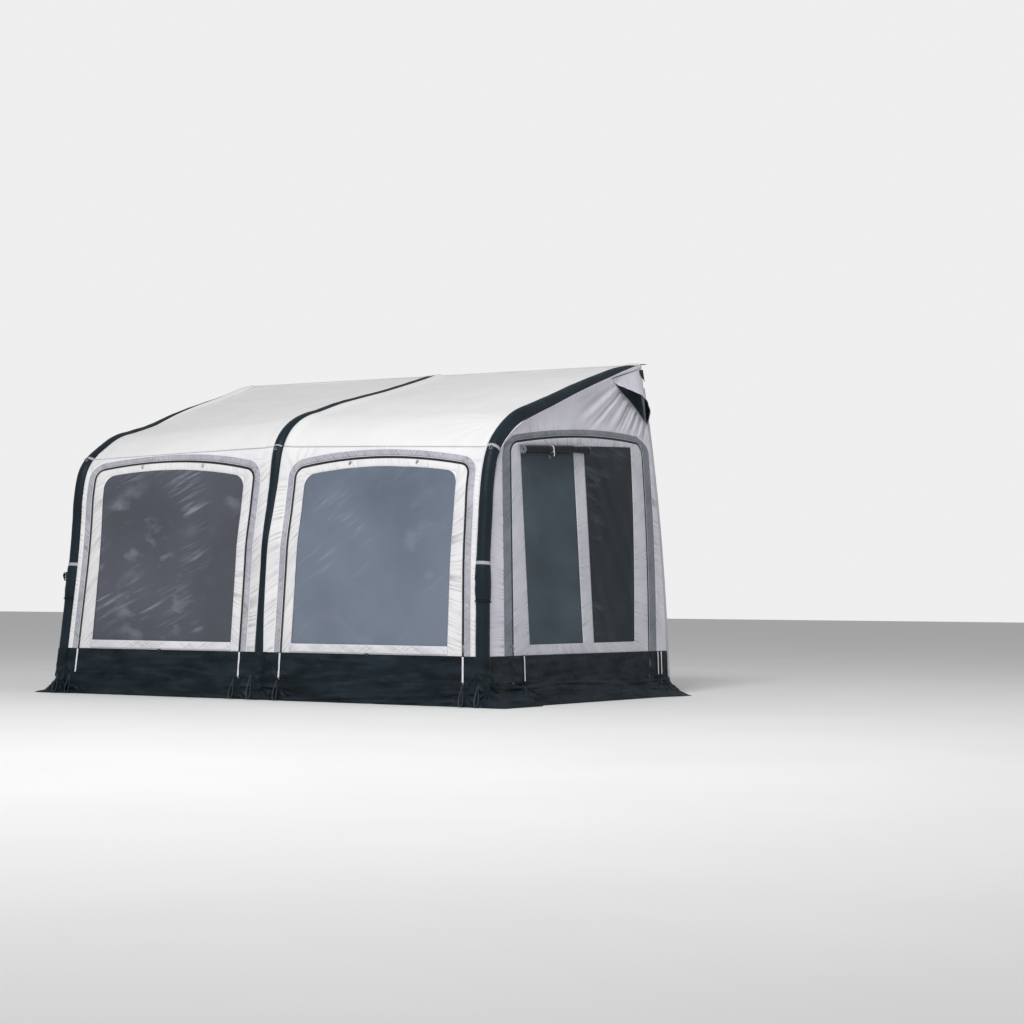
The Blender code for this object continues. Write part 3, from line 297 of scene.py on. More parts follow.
def makePiece(name, patches, material, body, replaced=(), outward=None, thickness=None):
    # Grids are joined where their points meet; quads that have shrunk at a pole become triangles
    points, uv, seam, faces, start = [], [], [], [], 0
    for each in patches:
        rows, columns = each["points"].shape[:2]
        faces.append(gridFaces(rows, columns) + start)
        points.append(each["points"].reshape(-1, 3))
        uv.append(each["uv"].reshape(-1, 2))
        seam.append(each["seam"].reshape(-1, 2))
        start += rows * columns
    points, uv, seam, faces = (np.concatenate(x) for x in (points, uv, seam, faces))
    cornerUv = uv[faces]
    _, first, index = np.unique(np.round(points / 1e-5).astype(np.int64), axis=0, return_index=True,
        return_inverse=True)
    faces, points, seam = index.reshape(-1)[faces], points[first], seam[first]
    apart = faces != np.roll(faces, -1, axis=1)
    whole, three = apart.all(1), apart.sum(1) == 3
    a, b, c, d = (points[faces[whole][:, k]] for k in range(4))
    normal = np.cross(c - a, d - b)
    if outward is None:  # a closed form: the sign of its volume
        facing = (normal * (a + b + c + d)).sum()
    else:
        facing = normal.sum(0) @ np.asarray(outward, float)
    polygons = [faces[whole], faces[three][apart[three]].reshape(-1, 3)]
    corners = [cornerUv[whole], cornerUv[three][apart[three]].reshape(-1, 3, 2)]
    if facing < 0:
        polygons, corners = [p[:, ::-1] for p in polygons], [c[:, ::-1] for c in corners]
    points = points + np.array([0.0, shell["centreY"], 0.0])
    mesh = bpy.data.meshes.new(name)
    mesh.from_pydata(points.tolist(), [], polygons[0].tolist() + polygons[1].tolist())
    mesh.polygons.foreach_set("use_smooth", np.ones(len(mesh.polygons), bool))
    layer = mesh.uv_layers.new(name="cloth")
    layer.data.foreach_set("uv", np.concatenate([c.reshape(-1) for c in corners]).astype(np.float32))
    for k, key in enumerate(("seam", "paintedShading")):  # distance to the nearest seam, and painted shading: shade on pale cloth, highlights on dark cloth
        mesh.attributes.new(key, "FLOAT", "POINT").data.foreach_set("value", seam[:, k].astype(np.float32))
    mesh.materials.append(material)
    mesh.update()
    obj = bpy.data.objects.new(name, mesh)
    bpy.context.scene.collection.objects.link(obj)
    if thickness:
        wall = obj.modifiers.new("thickness", "SOLIDIFY")
        wall.thickness, wall.offset = thickness, -1.0
    if isinstance(body, str):
        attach(obj, body)
    if replaced:
        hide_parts(*replaced)
    return obj


def tube(path, radius, sides=10, ends=True):
    # a round section carried along a path: the frame is the path's direction and two directions square to it
    path = np.asarray(path, float)
    along = np.gradient(path, axis=0)
    along /= np.linalg.norm(along, axis=1)[:, None]
    helper = np.array([0.0, 0.0, 1.0]) if abs(along[:, 2]).mean() < 0.8 else np.array([0.0, 1.0, 0.0])
    first = np.cross(along, helper)
    first /= np.linalg.norm(first, axis=1)[:, None]
    second = np.cross(along, first)
    radius = np.broadcast_to(radius, len(path)).copy()
    if ends:
        path, first, second, radius = (np.concatenate([x[:1], x, x[-1:]])
            for x in (path, first, second, radius))
        radius[0] = radius[-1] = 0.0
    angle = np.linspace(0, 2 * pi, sides + 1)
    ring = np.cos(angle)[None, :, None] * first[:, None] + np.sin(angle)[None, :, None] * second[:, None]
    points = path[:, None] + ring * radius[:, None, None]
    return patch(points, walk(path)[:, None], angle[None] * 0.01)


def ribbon(path, across, width, columns=5):  # a flat strap along a path; across is its width's direction
    path = np.asarray(path, float)
    across = np.broadcast_to(across, path.shape)
    across = across / np.linalg.norm(across, axis=1)[:, None]
    t = np.linspace(-0.5, 0.5, columns)
    points = path[:, None] + across[:, None] * (t * width)[None, :, None]
    return patch(points, walk(path)[:, None], (t * width)[None], (0.5 - np.abs(t))[None] * width)


# Finishes


waveBand = 0.31416  # the scale that puts a wave texture's bands one metre apart


def addNode(tree, kind, inputs, **settings):
    made = tree.nodes.new(kind)
    for key, value in settings.items():
        setattr(made, key, value)
    for key, value in inputs.items():
        if isinstance(value, bpy.types.NodeSocket):
            tree.links.new(value, made.inputs[key])
        else:
            made.inputs[key].default_value = value
    return made.outputs


def newMaterial(name):
    material = bpy.data.materials.new(name)
    material.use_nodes = True
    return material, material.node_tree, material.node_tree.nodes["Principled BSDF"]


def combine(tree, operation, a, b):
    return addNode(tree, "ShaderNodeMath", {0: a, 1: b}, operation=operation)[0]


def reach(tree, value, low, high, start=0.0, end=1.0):
    return addNode(tree, "ShaderNodeMapRange", {0: value, 1: low, 2: high, 3: start, 4: end})[0]


def tint(tree, share, a, b):
    return addNode(tree, "ShaderNodeMix", {0: share, 6: a, 7: b}, data_type="RGBA")[2]


def noise(tree, place, scale, detail=3.0, stretch=None, turn=(0, 0, 0)):
    if stretch is not None:
        place = addNode(tree, "ShaderNodeMapping", {"Vector": place, "Scale": stretch, "Rotation": turn})[0]
    return addNode(tree, "ShaderNodeTexNoise", {"Vector": place, "Scale": scale, "Detail": detail})[0]


clothLooks = {
    # colour, second colour, roughness, thread pitch, crinkle strength, dust near the ground
    "roofCloth": dict(colour=(0.80, 0.80, 0.805), second=(0.765, 0.765, 0.775), roughness=0.62,
        thread=0.0011, crinkle=0.16, dust=0.0),
    "frontCloth": dict(colour=(0.83, 0.822, 0.832), second=(0.75, 0.74, 0.76), roughness=0.60, thread=0.0011,
        crinkle=0.20, dust=0.0),
    "sideCloth": dict(colour=(0.69, 0.68, 0.76), second=(0.60, 0.595, 0.665), roughness=0.60, thread=0.0011,
        crinkle=0.18, dust=0.0),
    "doorCloth": dict(colour=(0.60, 0.60, 0.66), second=(0.52, 0.52, 0.58), roughness=0.60, thread=0.0011,
        crinkle=0.22, dust=0.0),
    "darkCloth": dict(colour=(0.012, 0.022, 0.030), second=(0.002, 0.006, 0.009), roughness=0.58,
        thread=0.0014, crinkle=0.34, dust=0.0),
    "coverCloth": dict(colour=(0.009, 0.020, 0.028), second=(0.006, 0.013, 0.019), roughness=0.50,
        thread=0.0012, crinkle=0.20, dust=0.02),
    "zipGuard": dict(colour=(0.50, 0.50, 0.56), second=(0.38, 0.38, 0.44), roughness=0.66, thread=0.0010,
        crinkle=0.30, dust=0.0),
    "sideZipGuard": dict(colour=(0.21, 0.23, 0.27), second=(0.145, 0.165, 0.195), roughness=0.60,
        thread=0.0010, crinkle=0.30, dust=0.0),
    "pouchCloth": dict(colour=(0.80, 0.80, 0.83), second=(0.66, 0.66, 0.71), roughness=0.38, thread=0.0009,
        crinkle=0.25, dust=0.0),
    "paleWebbing": dict(colour=(0.42, 0.43, 0.46), second=(0.34, 0.35, 0.38), roughness=0.75, thread=0.0022,
        crinkle=0.05, dust=0.05),
    "whiteTape": dict(colour=(0.88, 0.88, 0.90), second=(0.76, 0.76, 0.79), roughness=0.70, thread=0.0018,
        crinkle=0.05, dust=0.05),
    "blackWebbing": dict(colour=(0.016, 0.018, 0.021), second=(0.008, 0.009, 0.011), roughness=0.72,
        thread=0.0024, crinkle=0.10, dust=0.10),
    "loopWebbing": dict(colour=(0.085, 0.096, 0.112), second=(0.040, 0.046, 0.055), roughness=0.60,
        thread=0.0024, crinkle=0.10, dust=0.05),
    "blindCloth": dict(colour=(0.004, 0.007, 0.010), second=(0.010, 0.014, 0.018), roughness=0.42,
        thread=0.0010, crinkle=0.30, dust=0.0),
    "padCover": dict(colour=(0.50, 0.50, 0.55), second=(0.42, 0.42, 0.47), roughness=0.80, thread=0.0016,
        crinkle=0.15, dust=0.05),
}


def clothFinish(name):
    # tone drifts in soft clouds; threads cross along the cloth's own map; a row of stitches and a band darker
    # in patches follow the distance to the nearest seam; dust gathers near the ground; painted shade and
    # highlights are mixed in last
    look = clothLooks[name]
    material, tree, shader = newMaterial(name)
    place = addNode(tree, "ShaderNodeTexCoord", {})
    spot, own = place["Object"], place["UV"]
    folds = name == "darkCloth"  # on the ground cloth the clouds are stretched level: random tone, and painted light and shade of long level folds
    clouds = reach(tree, noise(tree, spot, 4.6 if folds else 3.2, 5.0, (1.0, 1.0, 2.6) if folds else None),
        0.34 if folds else 0.36, 0.66)
    colour = tint(tree, clouds, (*look["colour"], 1), (*look["second"], 1))
    seam = addNode(tree, "ShaderNodeAttribute", {}, attribute_name="seam")["Fac"]
    # darker in patches within 9 mm of each seam
    seamDarkening = combine(tree, "MULTIPLY", reach(tree, seam, 0.0, 0.009, 0.30, 0.0),
        reach(tree, noise(tree, spot, 60.0), 0.3, 0.7))
    colour = tint(tree, seamDarkening, colour, (*[c * 0.62 for c in look["second"]], 1))
    along = addNode(tree, "ShaderNodeSeparateXYZ", {0: own})[0]
    beat = combine(tree, "GREATER_THAN", combine(tree, "FRACT", combine(tree, "DIVIDE", along, 0.0042), 0.0),
        0.32)
    row = combine(tree, "COMPARE", seam, 0.0055)
    tree.nodes[-1].inputs[2].default_value = 0.0006
    stitch = combine(tree, "MULTIPLY", row, beat)
    colour = tint(tree, combine(tree, "MULTIPLY", stitch, 0.6), colour,
        (*[min(1.0, c * 0.55 + 0.02) for c in look["colour"]], 1))
    if look["dust"]:
        height = addNode(tree, "ShaderNodeSeparateXYZ", {0: spot})[2]
        low = combine(tree, "MULTIPLY", reach(tree, height, 0.0, 0.16, look["dust"], 0.0),
            reach(tree, noise(tree, spot, 14.0, 6.0), 0.35, 0.65))
        colour = tint(tree, low, colour, (0.30, 0.29, 0.28, 1))
    paintedShading = addNode(tree, "ShaderNodeAttribute", {}, attribute_name="paintedShading")["Fac"]
    dark = look["colour"][1] < 0.1  # painted shading: pale cloth gets painted shade in creases and shadows, dark cloth gets painted highlights on its folds
    shadingColour = (0.034, 0.046, 0.055, 1) if dark else (*[c * 0.40 for c in look["second"]], 1)
    colour = tint(tree, combine(tree, "MULTIPLY", paintedShading, 0.5 if dark else 0.72), colour, shadingColour)
    tree.links.new(colour, shader.inputs["Base Color"])
    scale = waveBand / look["thread"]
    weft = addNode(tree, "ShaderNodeTexWave", {"Vector": own, "Scale": scale}, bands_direction="X")[1]
    warp = addNode(tree, "ShaderNodeTexWave", {"Vector": own, "Scale": scale}, bands_direction="Y")[1]
    threads = combine(tree, "ADD", weft, warp)
    crinkle = noise(tree, spot, 24.0, 6.0)
    rough = reach(tree, crinkle, 0.3, 0.7, look["roughness"] - 0.07, look["roughness"] + 0.07)
    tree.links.new(rough, shader.inputs["Roughness"])
    soft = addNode(tree, "ShaderNodeBump", {"Height": crinkle, "Strength": look["crinkle"],
        "Distance": 0.012})[0]
    bumps = combine(tree, "ADD", threads, combine(tree, "MULTIPLY", stitch, 2.5))
    fine = addNode(tree, "ShaderNodeBump", {"Height": bumps, "Strength": 0.22, "Distance": 0.00025,
        "Normal": soft})[0]
    tree.links.new(fine, shader.inputs["Normal"])
    shader.inputs["Sheen Weight"].default_value = 0.02 if dark else 0.12
    shader.inputs["Specular IOR Level"].default_value = 0.17 if dark else 0.35
    return material


filmLooks = {
    # clear tinted film: deep tone, mid tone, glare tone (painted reflection), share of glare, opacity, slant
    # of the streaks
    # the two windows and the door are one foil; their different tones are painted light and shade
    "frontFilm": dict(deep=(0.125, 0.150, 0.195), colour=(0.180, 0.212, 0.270), glare=(0.270, 0.305, 0.365),
        share=0.70, alpha=0.97, turn=0.62),
    "leftFilm": dict(deep=(0.076, 0.080, 0.100), colour=(0.108, 0.114, 0.142), glare=(0.300, 0.320, 0.385),
        share=0.85, alpha=0.97, turn=0.42),
    "doorFilm": dict(deep=(0.004, 0.010, 0.015), colour=(0.010, 0.020, 0.028), glare=(0.100, 0.132, 0.160),
        share=0.40, alpha=0.985, turn=-1.05),
}


def filmFinish(name):
    # a glossy film: soft clouds, then painted reflections: long fine streaks along the slant, kept to patches
    # of the film, and puffs
    look = filmLooks[name]
    material, tree, shader = newMaterial(name)
    spot = addNode(tree, "ShaderNodeTexCoord", {})["Object"]
    clouds = reach(tree, noise(tree, spot, 0.9, 3.0), 0.35, 0.65)
    colour = tint(tree, clouds, (*look["deep"], 1), (*look["colour"], 1))
    turned = addNode(tree, "ShaderNodeMapping", {"Vector": spot, "Rotation": (0.0, look["turn"], 0.0)})[0]
    long = addNode(tree, "ShaderNodeMapping", {"Vector": turned, "Scale": (1.0, 1.0, 12.0)})[0]
    streaks = reach(tree, addNode(tree, "ShaderNodeTexNoise",
        {"Vector": long, "Scale": 2.4, "Detail": 5.0, "Roughness": 0.62})[0], 0.52, 0.70)
    patches = reach(tree, noise(tree, spot, 1.9, 2.0), 0.50, 0.66)
    puffs = reach(tree, noise(tree, spot, 3.4, 6.0, (1.0, 1.0, 1.7)), 0.54, 0.74)
    broad = reach(tree, noise(tree, spot, 1.3, 2.0), 0.52, 0.70)
    # painted reflection: the streaks and puffs tint the film towards its glare tone
    paintedGlare = combine(tree, "MAXIMUM", combine(tree, "MULTIPLY", streaks, patches),
        combine(tree, "MULTIPLY", puffs, broad))
    colour = tint(tree, combine(tree, "MULTIPLY", paintedGlare, look["share"]), colour, (*look["glare"], 1))
    tree.links.new(colour, shader.inputs["Base Color"])
    ripple = addNode(tree, "ShaderNodeTexNoise", {"Vector": turned, "Scale": 4.0, "Detail": 2.0})[0]
    bump = addNode(tree, "ShaderNodeBump", {"Height": ripple, "Strength": 0.20, "Distance": 0.015})[0]
    tree.links.new(bump, shader.inputs["Normal"])
    tree.links.new(reach(tree, paintedGlare, 0.0, 1.0, 0.18, 0.34), shader.inputs["Roughness"])
    shader.inputs["Alpha"].default_value = look["alpha"]
    shader.inputs["IOR"].default_value = 1.45
    shader.inputs["Specular IOR Level"].default_value = 0.35
    return material


def meshFinish():  # fly mesh: fine square netting, dark, that lets a little light through
    material, tree, shader = newMaterial("flyMesh")
    place = addNode(tree, "ShaderNodeTexCoord", {})
    clouds = reach(tree, noise(tree, place["Object"], 1.6, 5.0, (1.0, 1.0, 1.6)), 0.35, 0.7)
    colour = tint(tree, clouds, (0.032, 0.056, 0.076, 1), (0.066, 0.104, 0.134, 1))
    weft = addNode(tree, "ShaderNodeTexWave", {"Vector": place["UV"], "Scale": waveBand / 0.0016},
        bands_direction="X")[1]
    warp = addNode(tree, "ShaderNodeTexWave", {"Vector": place["UV"], "Scale": waveBand / 0.0016},
        bands_direction="Y")[1]
    net = combine(tree, "MAXIMUM", weft, warp)
    colour = tint(tree, reach(tree, net, 0.7, 0.95, 0.35, 0.0), colour, (0.004, 0.006, 0.008, 1))
    tree.links.new(colour, shader.inputs["Base Color"])
    tree.links.new(reach(tree, net, 0.0, 1.0, 0.75, 0.5), shader.inputs["Roughness"])
    bump = addNode(tree, "ShaderNodeBump", {"Height": net, "Strength": 0.5, "Distance": 0.0005})[0]
    tree.links.new(bump, shader.inputs["Normal"])
    shader.inputs["Alpha"].default_value = 0.95
    return material


hardLooks = {
    # colour, worn colour, roughness, metallic, grain size, grain depth
    "blackPlastic": ((0.022, 0.023, 0.026), (0.05, 0.05, 0.055), 0.42, 0.0, 900.0, 0.00012),
    "palePlastic": ((0.78, 0.78, 0.79), (0.66, 0.66, 0.68), 0.38, 0.0, 700.0, 0.00010),
    "greyPlastic": ((0.25, 0.26, 0.28), (0.18, 0.19, 0.21), 0.42, 0.0, 800.0, 0.00012),
    "steel": ((0.66, 0.67, 0.69), (0.40, 0.41, 0.43), 0.30, 1.0, 260.0, 0.00008),
    "rodGlass": ((0.09, 0.09, 0.10), (0.05, 0.05, 0.06), 0.36, 0.0, 340.0, 0.00015),
    "bladderFilm": ((0.60, 0.62, 0.58), (0.50, 0.52, 0.49), 0.30, 0.0, 90.0, 0.00040),
}


def hardFinish(name):  # moulded grain as fine noise, with rubbed patches
    colour, seamDarkening, roughness, metallic, grain, depth = hardLooks[name]
    material, tree, shader = newMaterial(name)
    spot = addNode(tree, "ShaderNodeTexCoord", {})["Object"]
    rubbed = reach(tree, noise(tree, spot, 45.0, 5.0), 0.42, 0.68)
    tree.links.new(tint(tree, rubbed, (*colour, 1), (*seamDarkening, 1)), shader.inputs["Base Color"])
    tree.links.new(reach(tree, rubbed, 0.0, 1.0, roughness, roughness + 0.14), shader.inputs["Roughness"])
    bump = addNode(tree, "ShaderNodeBump", {"Height": noise(tree, spot, grain), "Strength": 0.35,
        "Distance": depth})[0]
    tree.links.new(bump, shader.inputs["Normal"])
    shader.inputs["Metallic"].default_value = metallic
    return material


def zipFinish():  # a coil: teeth as a fine wave along the tape
    material, tree, shader = newMaterial("zipCoil")
    place = addNode(tree, "ShaderNodeTexCoord", {})
    teeth = addNode(tree, "ShaderNodeTexWave", {"Vector": place["UV"], "Scale": waveBand / 0.0026},
        bands_direction="X")[1]
    drift = reach(tree, noise(tree, place["Object"], 8.0, 4.0), 0.35, 0.65)
    tree.links.new(tint(tree, drift, (0.004, 0.005, 0.007, 1), (0.010, 0.012, 0.015, 1)),
        shader.inputs["Base Color"])
    bump = addNode(tree, "ShaderNodeBump", {"Height": teeth, "Strength": 0.7, "Distance": 0.0008})[0]
    tree.links.new(bump, shader.inputs["Normal"])
    tree.links.new(reach(tree, teeth, 0.0, 1.0, 0.55, 0.35), shader.inputs["Roughness"])
    return material


finishes = {name: clothFinish(name) for name in clothLooks}
finishes |= {name: filmFinish(name) for name in filmLooks}
finishes |= {name: hardFinish(name) for name in hardLooks}
finishes |= {"flyMesh": meshFinish(), "zipCoil": zipFinish()}
print("finishes ready")


def stretchedSheet(obj):
    return obj


# Camera, light and floor

studio = {
    "cameraAt": (8.873, -14.669 + shell["centreY"], 0.756),
    "right": (0.8752835, 0.48357301, 0.00599442),
    "up": (0.01554592, -0.04052306, 0.99905766),
    "forward": (-0.48336023, 0.8743655, 0.04298675),
    "focalPixels": 2015.0,
    "sky": 0.42,
    "backdrop": 0.86,
    "keyPower": 930.0,
    "fillPower": 70.0,
    "floorTone": 0.86,
}


def makeStudio():
    scene = bpy.context.scene
    camera = bpy.data.objects.new("photoCamera", bpy.data.cameras.new("photoCamera"))
    camera.data.sensor_width, camera.data.lens = 36.0, studio["focalPixels"] / 1024 * 36.0
    camera.data.clip_end = 200.0
    axes = np.stack([studio["right"], studio["up"], -np.array(studio["forward"])], 1)
    camera.rotation_mode = "QUATERNION"
    matrix = np.eye(4)
    matrix[:3, :3] = axes
    matrix[:3, 3] = studio["cameraAt"]
    camera.matrix_world = Matrix(matrix)
    scene.collection.objects.link(camera)
    scene.camera = camera
    world = bpy.data.worlds.new("paleRoom")
    world.use_nodes = True
    back = world.node_tree.nodes["Background"]
    back.inputs[0].default_value = (1.0, 1.0, 1.0, 1.0)
    # the backdrop is paler than the light it gives
    seen = addNode(world.node_tree, "ShaderNodeLightPath", {})["Is Camera Ray"]
    world.node_tree.links.new(reach(world.node_tree, seen, 0.0, 1.0, studio["sky"], studio["backdrop"]),
        back.inputs[1])
    scene.world = world
    scene.view_settings.view_transform = "Standard"
    lamps = {
        "keyLight": ((3.6, -8.6, 9.6), 3.2, studio["keyPower"]),
        "fillLight": ((10.0, 3.0, 6.0), 6.0, studio["fillPower"]),
    }
    for name, (spot, size, power) in lamps.items():
        lamp = bpy.data.lights.new(name, "AREA")
        lamp.shape, lamp.size, lamp.energy = "SQUARE", size, power
        holder = bpy.data.objects.new(name, lamp)
        aim = np.array([0.0, 0.0, 1.1]) - np.array(spot)
        aim /= np.linalg.norm(aim)
        right = np.cross(aim, [0.0, 0.0, 1.0])
        right /= np.linalg.norm(right)
        matrix = np.eye(4)
        matrix[:3, :3] = np.stack([right, np.cross(right, aim), -aim], 1)
        matrix[:3, 3] = spot
        holder.matrix_world = Matrix(matrix)
        scene.collection.objects.link(holder)
    t = np.linspace(-60.0, 60.0, 3)
    x, y = np.meshgrid(t, t)
    floorAt = np.stack([x, y - shell["centreY"], np.full_like(x, -0.0015)], -1)
    material, tree, shader = newMaterial("paleFloor")
    spot = addNode(tree, "ShaderNodeTexCoord", {})["Object"]
    tone = studio["floorTone"]
    drift = reach(tree, noise(tree, spot, 0.8, 3.0), 0.3, 0.7)
    tree.links.new(tint(tree, drift, (tone, tone, tone, 1), (tone - 0.03, tone - 0.03, tone - 0.03, 1)),
        shader.inputs["Base Color"])
    shader.inputs["Roughness"].default_value = 0.7
    floor = makePiece("studioFloor", [patch(floorAt, x, y)], material, None, outward=(0, 0, 1))


makeStudio()
print("studio ready")


# Beams

cover = {
    "radius": 0.050,
    "sides": 48,
    "stations": 300,
    "topInset": 0.010,
    "sewnInner": -66.0,  # degrees round the cover where the front cloth is sewn
    "sewnOuter": 156.0,  # and the side wall
    "puckerDepth": 0.0016,
    "bladderRadius": 0.0462,
    "endTaper": 0.30,
}


def beamTaper(s):  # the cover draws in at its upper end
    return 1 - cover["endTaper"] * smooth((np.asarray(s, float) - total + 0.17) / 0.17)


def beamGrid(side, radius, stations, columns, start, end, floor=0.0015):
    # the foot of each line round the beam is slid along it until it stands level on the ground
    angle = np.linspace(-pi, pi, columns + 1)[None]
    lean = shell["legLean"]
    foot = (floor - (radius * np.cos(angle) - shell["beamSink"]) * np.sin(lean)) / np.cos(lean)
    t = np.linspace(0, 1, stations)[:, None]
    s = mix(np.maximum(foot, start) if start > 0.2 else foot, end, t)
    return s, angle * np.ones_like(t)


def makeBeams():
    for label, side in beams.items():
        s, angle = beamGrid(side, cover["radius"], cover["stations"], cover["sides"], 0.0,
            total - cover["topInset"])
        inner, outer = (np.radians(cover["sewnInner"]),
            np.radians(cover["sewnOuter"] if side else -cover["sewnInner"]))
        near = np.minimum(np.abs(angle - inner), np.abs(angle - outer)) * cover["radius"]
        radius = (cover["radius"] - cover["puckerDepth"] * humps(s + 0.3 * near, 0.034, 11 + side)
            * np.exp(-near / 0.016))
        bend = smooth((s - legLength) / 0.3) * smooth((bendEnd - s) / 0.3)
        radius = radius - 0.0010 * bend * humps(s, 0.055, 21 + side) * (0.4 + 0.6 * np.abs(np.sin(angle)))
        radius = radius + 0.0008 * swell(s, angle * 0.05, 0.16, 5 + side)
        points = aroundBeam(side, s, radius * beamTaper(s), angle)
        made = makePiece("beamCover_" + label, [patch(points, s, angle * 0.05, near)],
            finishes["coverCloth"], "shell", ["beam_cover_" + label], thickness=shell["clothThickness"])
        stretchedSheet(made)
        radius = cover["bladderRadius"]
        s, angle = beamGrid(side, radius, 160, 32, 0.0, total - 2 * cover["topInset"], floor=0.007)
        ends = np.concatenate([[0.0], np.linspace(1.0, 1.0, 160), [0.0]])[:, None]
        s, angle = np.concatenate([s[:1], s, s[-1:]]), np.concatenate([angle[:1], angle, angle[-1:]])
        s[0] = s[0].mean()
        radius = (radius + 0.0004 * swell(s, angle * 0.05, 0.2, 3)) * ends * beamTaper(s)
        makePiece("airBeam_" + label, [patch(aroundBeam(side, s, radius, angle), s, angle * 0.05)],
                  finishes["bladderFilm"], "shell", ["air_beam_" + label])


makeBeams()
print("beams ready")


# Cloth that lies on the front: the roof, the front walls and their panels

front = {
    "zipInner": 0.185,
    "zipOuter": 0.165,
    "crown": 1.782,
    "rise": 0.075,
    "fillet": 0.085,
    "counts": (400, 44, 400),
    "cut": 0.0065,
    "guardStart": 0.008,
    "guardEnd": 0.056,
    "guardCloth": 0.048,
    "outerEdge": 0.0455,
    "puckerPitch": 0.047,
    "puckerDepth": 0.0068,
    "wallRows": 20,
}
darkS = float(lengthAt(shell["darkHeight"]))
zipFootS = float(lengthAt(shell["zipFoot"]))


def slotHalf(s):  # half the width of the dark line that shows of the centre beam
    places = [0.0, 0.30, 0.62, 0.95, 1.20, 1.40, 1.60, 1.80, 1.93, 2.03, 2.18, 2.42, 2.75, total]
    widths = [0.043, 0.042, 0.030, 0.026, 0.028, 0.034, 0.041, 0.045, 0.046, 0.045, 0.041, 0.038, 0.0365,
        0.034]
    return rounded(places, widths, s)


def climb(x, s):
    # the cloth is sewn high on the centre beam's cover and comes down to the wall in a shallow curve,
    # and it rises a little onto the outer beam's cover
    edge = slotHalf(s)
    height = np.sqrt((shell["beamRadius"] + 0.0022) ** 2 - edge**2) - shell["beamSink"]
    end = front["zipInner"] - front["guardEnd"]
    run = np.clip((end - x) / (end - edge), 0, 1)
    outer = np.clip((x - beamX(s) + front["outerEdge"] + 0.07) / 0.07, 0, 1)
    return height * run**1.2 + 0.004 * np.sin(pi * run) + 0.0035 * outer**2


def zipInner(s):
    return front["zipInner"] + 0 * np.asarray(s, float)


def zipOuter(s):
    return sideX(*profile(s)) - front["zipOuter"]


def frontArch(low):
    return archLine(zipInner, zipOuter, low, float(lengthAt(front["crown"])), front["rise"], front["fillet"],
        front["counts"])


def outerEdge(s):
    return beamX(s) - front["outerEdge"]


def wallBorder(low, side):  # up the centre beam, along the seam, down the outer beam
    up, corner, top = front["counts"]
    arch, _ = frontArch(low)
    a, b = arch[up + corner], arch[up + corner + top]
    level = arch[up][1]

    def seam(x0, x1):
        x = np.linspace(x0, x1, 60)
        return np.stack([x, seamLength(x, side) - 0.0004], -1)

    xi, xo = float(slotHalf(seamLength(0.04, side))), float(outerEdge(seamLength(1.7, side)))
    s = np.linspace(low, level, 120)
    t = np.linspace(level, float(seamLength(xi, side)), 30)
    o = np.linspace(float(seamLength(xo, side)), level, 30)
    parts = [
        spread(np.stack([slotHalf(s), s], -1), up),
        spread(np.concatenate([np.stack([slotHalf(t), t], -1), seam(xi, a[0])[1:]]), corner),
        spread(seam(a[0], b[0]), top),
        spread(np.concatenate([seam(b[0], xo), np.stack([outerEdge(o), o], -1)[1:]]), corner),
        spread(np.stack([outerEdge(s), s], -1)[::-1], up + 1, True),
    ]
    return np.concatenate(parts)


def makeFrontWall(label, side):
    low = darkS + 0.0003
    arch, normal = frontArch(low)
    inner = arch + normal * front["cut"]
    grid, off, width, along = between(inner, wallBorder(low, side), front["wallRows"])
    x, s = grid[..., 0], grid[..., 1]
    free = smooth((off - front["guardEnd"] + 0.012) / 0.02)
    crown = smooth(normal[:, 1])[None]  # above the zip the creases are fewer, softer and more slanted
    slant = mix(np.where(grid[..., 0] < 0.9, -0.45 * side, 0.40 * side), 1.1 * side, crown)
    height, shade = puckers(along, off - front["guardEnd"], np.maximum(width - front["guardEnd"], 0.02),
        front["puckerPitch"], slant, 100 + side, 0.11, 0.30)
    height, shade = (height * (1 - 0.45 * crown),
        shade * (1 - 0.62 * crown) * smooth((width - front["guardEnd"] - 0.035) / 0.05))
    level = climb(x, s) + front["puckerDepth"] * height * free
    above = smooth((s - lengthAt(front["crown"] - 0.1)) / 0.1)
    level = level + above * 0.0012 * swell(x, s, 0.09, 7 + side) * free * smooth((width - off) / 0.02)
    round_ = [wrapPatch(side, "front", -67.0, 1.21, 105, 10, 110, 1.898)] if side > 0 else []
    made = makePiece("frontWall_" + label, round_
        + [patch(onFront(side, x, s, level), along, off, np.minimum(off, width - off), shade * free)],
        finishes["frontCloth"], "shell", ["front_wall_" + label], (0, -1, 0.2), shell["clothThickness"])
    stretchedSheet(made)


wrap = {
    # share of the way from the end of the bend to the keder, degrees round the cover that the cloths reach
    "share": [-0.64, -0.54, -0.48, -0.30, -0.27, -0.16, -0.05, 0.08, 0.22, 0.40, 0.54, 0.72, 0.86, 0.93, 1.0],
    "front": [-64.0, -50.0, -34.0, -30.0, -30.0, -30.0, -30.0, -30.0, -30.0, -30.0, -30.0, -30.0, -30.0,
        -30.0, -30.0],
    "roofLeft": [-58.0, -58.0, -58.0, -58.0, -58.0, -57.0, -56.0, -54.0, -49.0, -36.0, -24.0, -14.0, 10.0,
        40.0, 62.0],
    "roofRight": [-30.0, -30.0, -30.0, -30.0, -30.0, -28.0, -30.0, -38.0, -38.0, -34.0, -26.0, -12.0, 25.0,
        55.0, 60.0],
    "side": [156.0, 156.0, 156.0, 156.0, 156.0, 156.0, 140.0, 121.0, 107.0, 97.0, 89.0, 78.0, 67.0, 61.0,
        59.0],
    "stand": 0.0024,
}


def wrapAngle(s, which):
    return np.radians(np.interp((s - bendEnd) / (total - bendEnd), wrap["share"], wrap[which]))


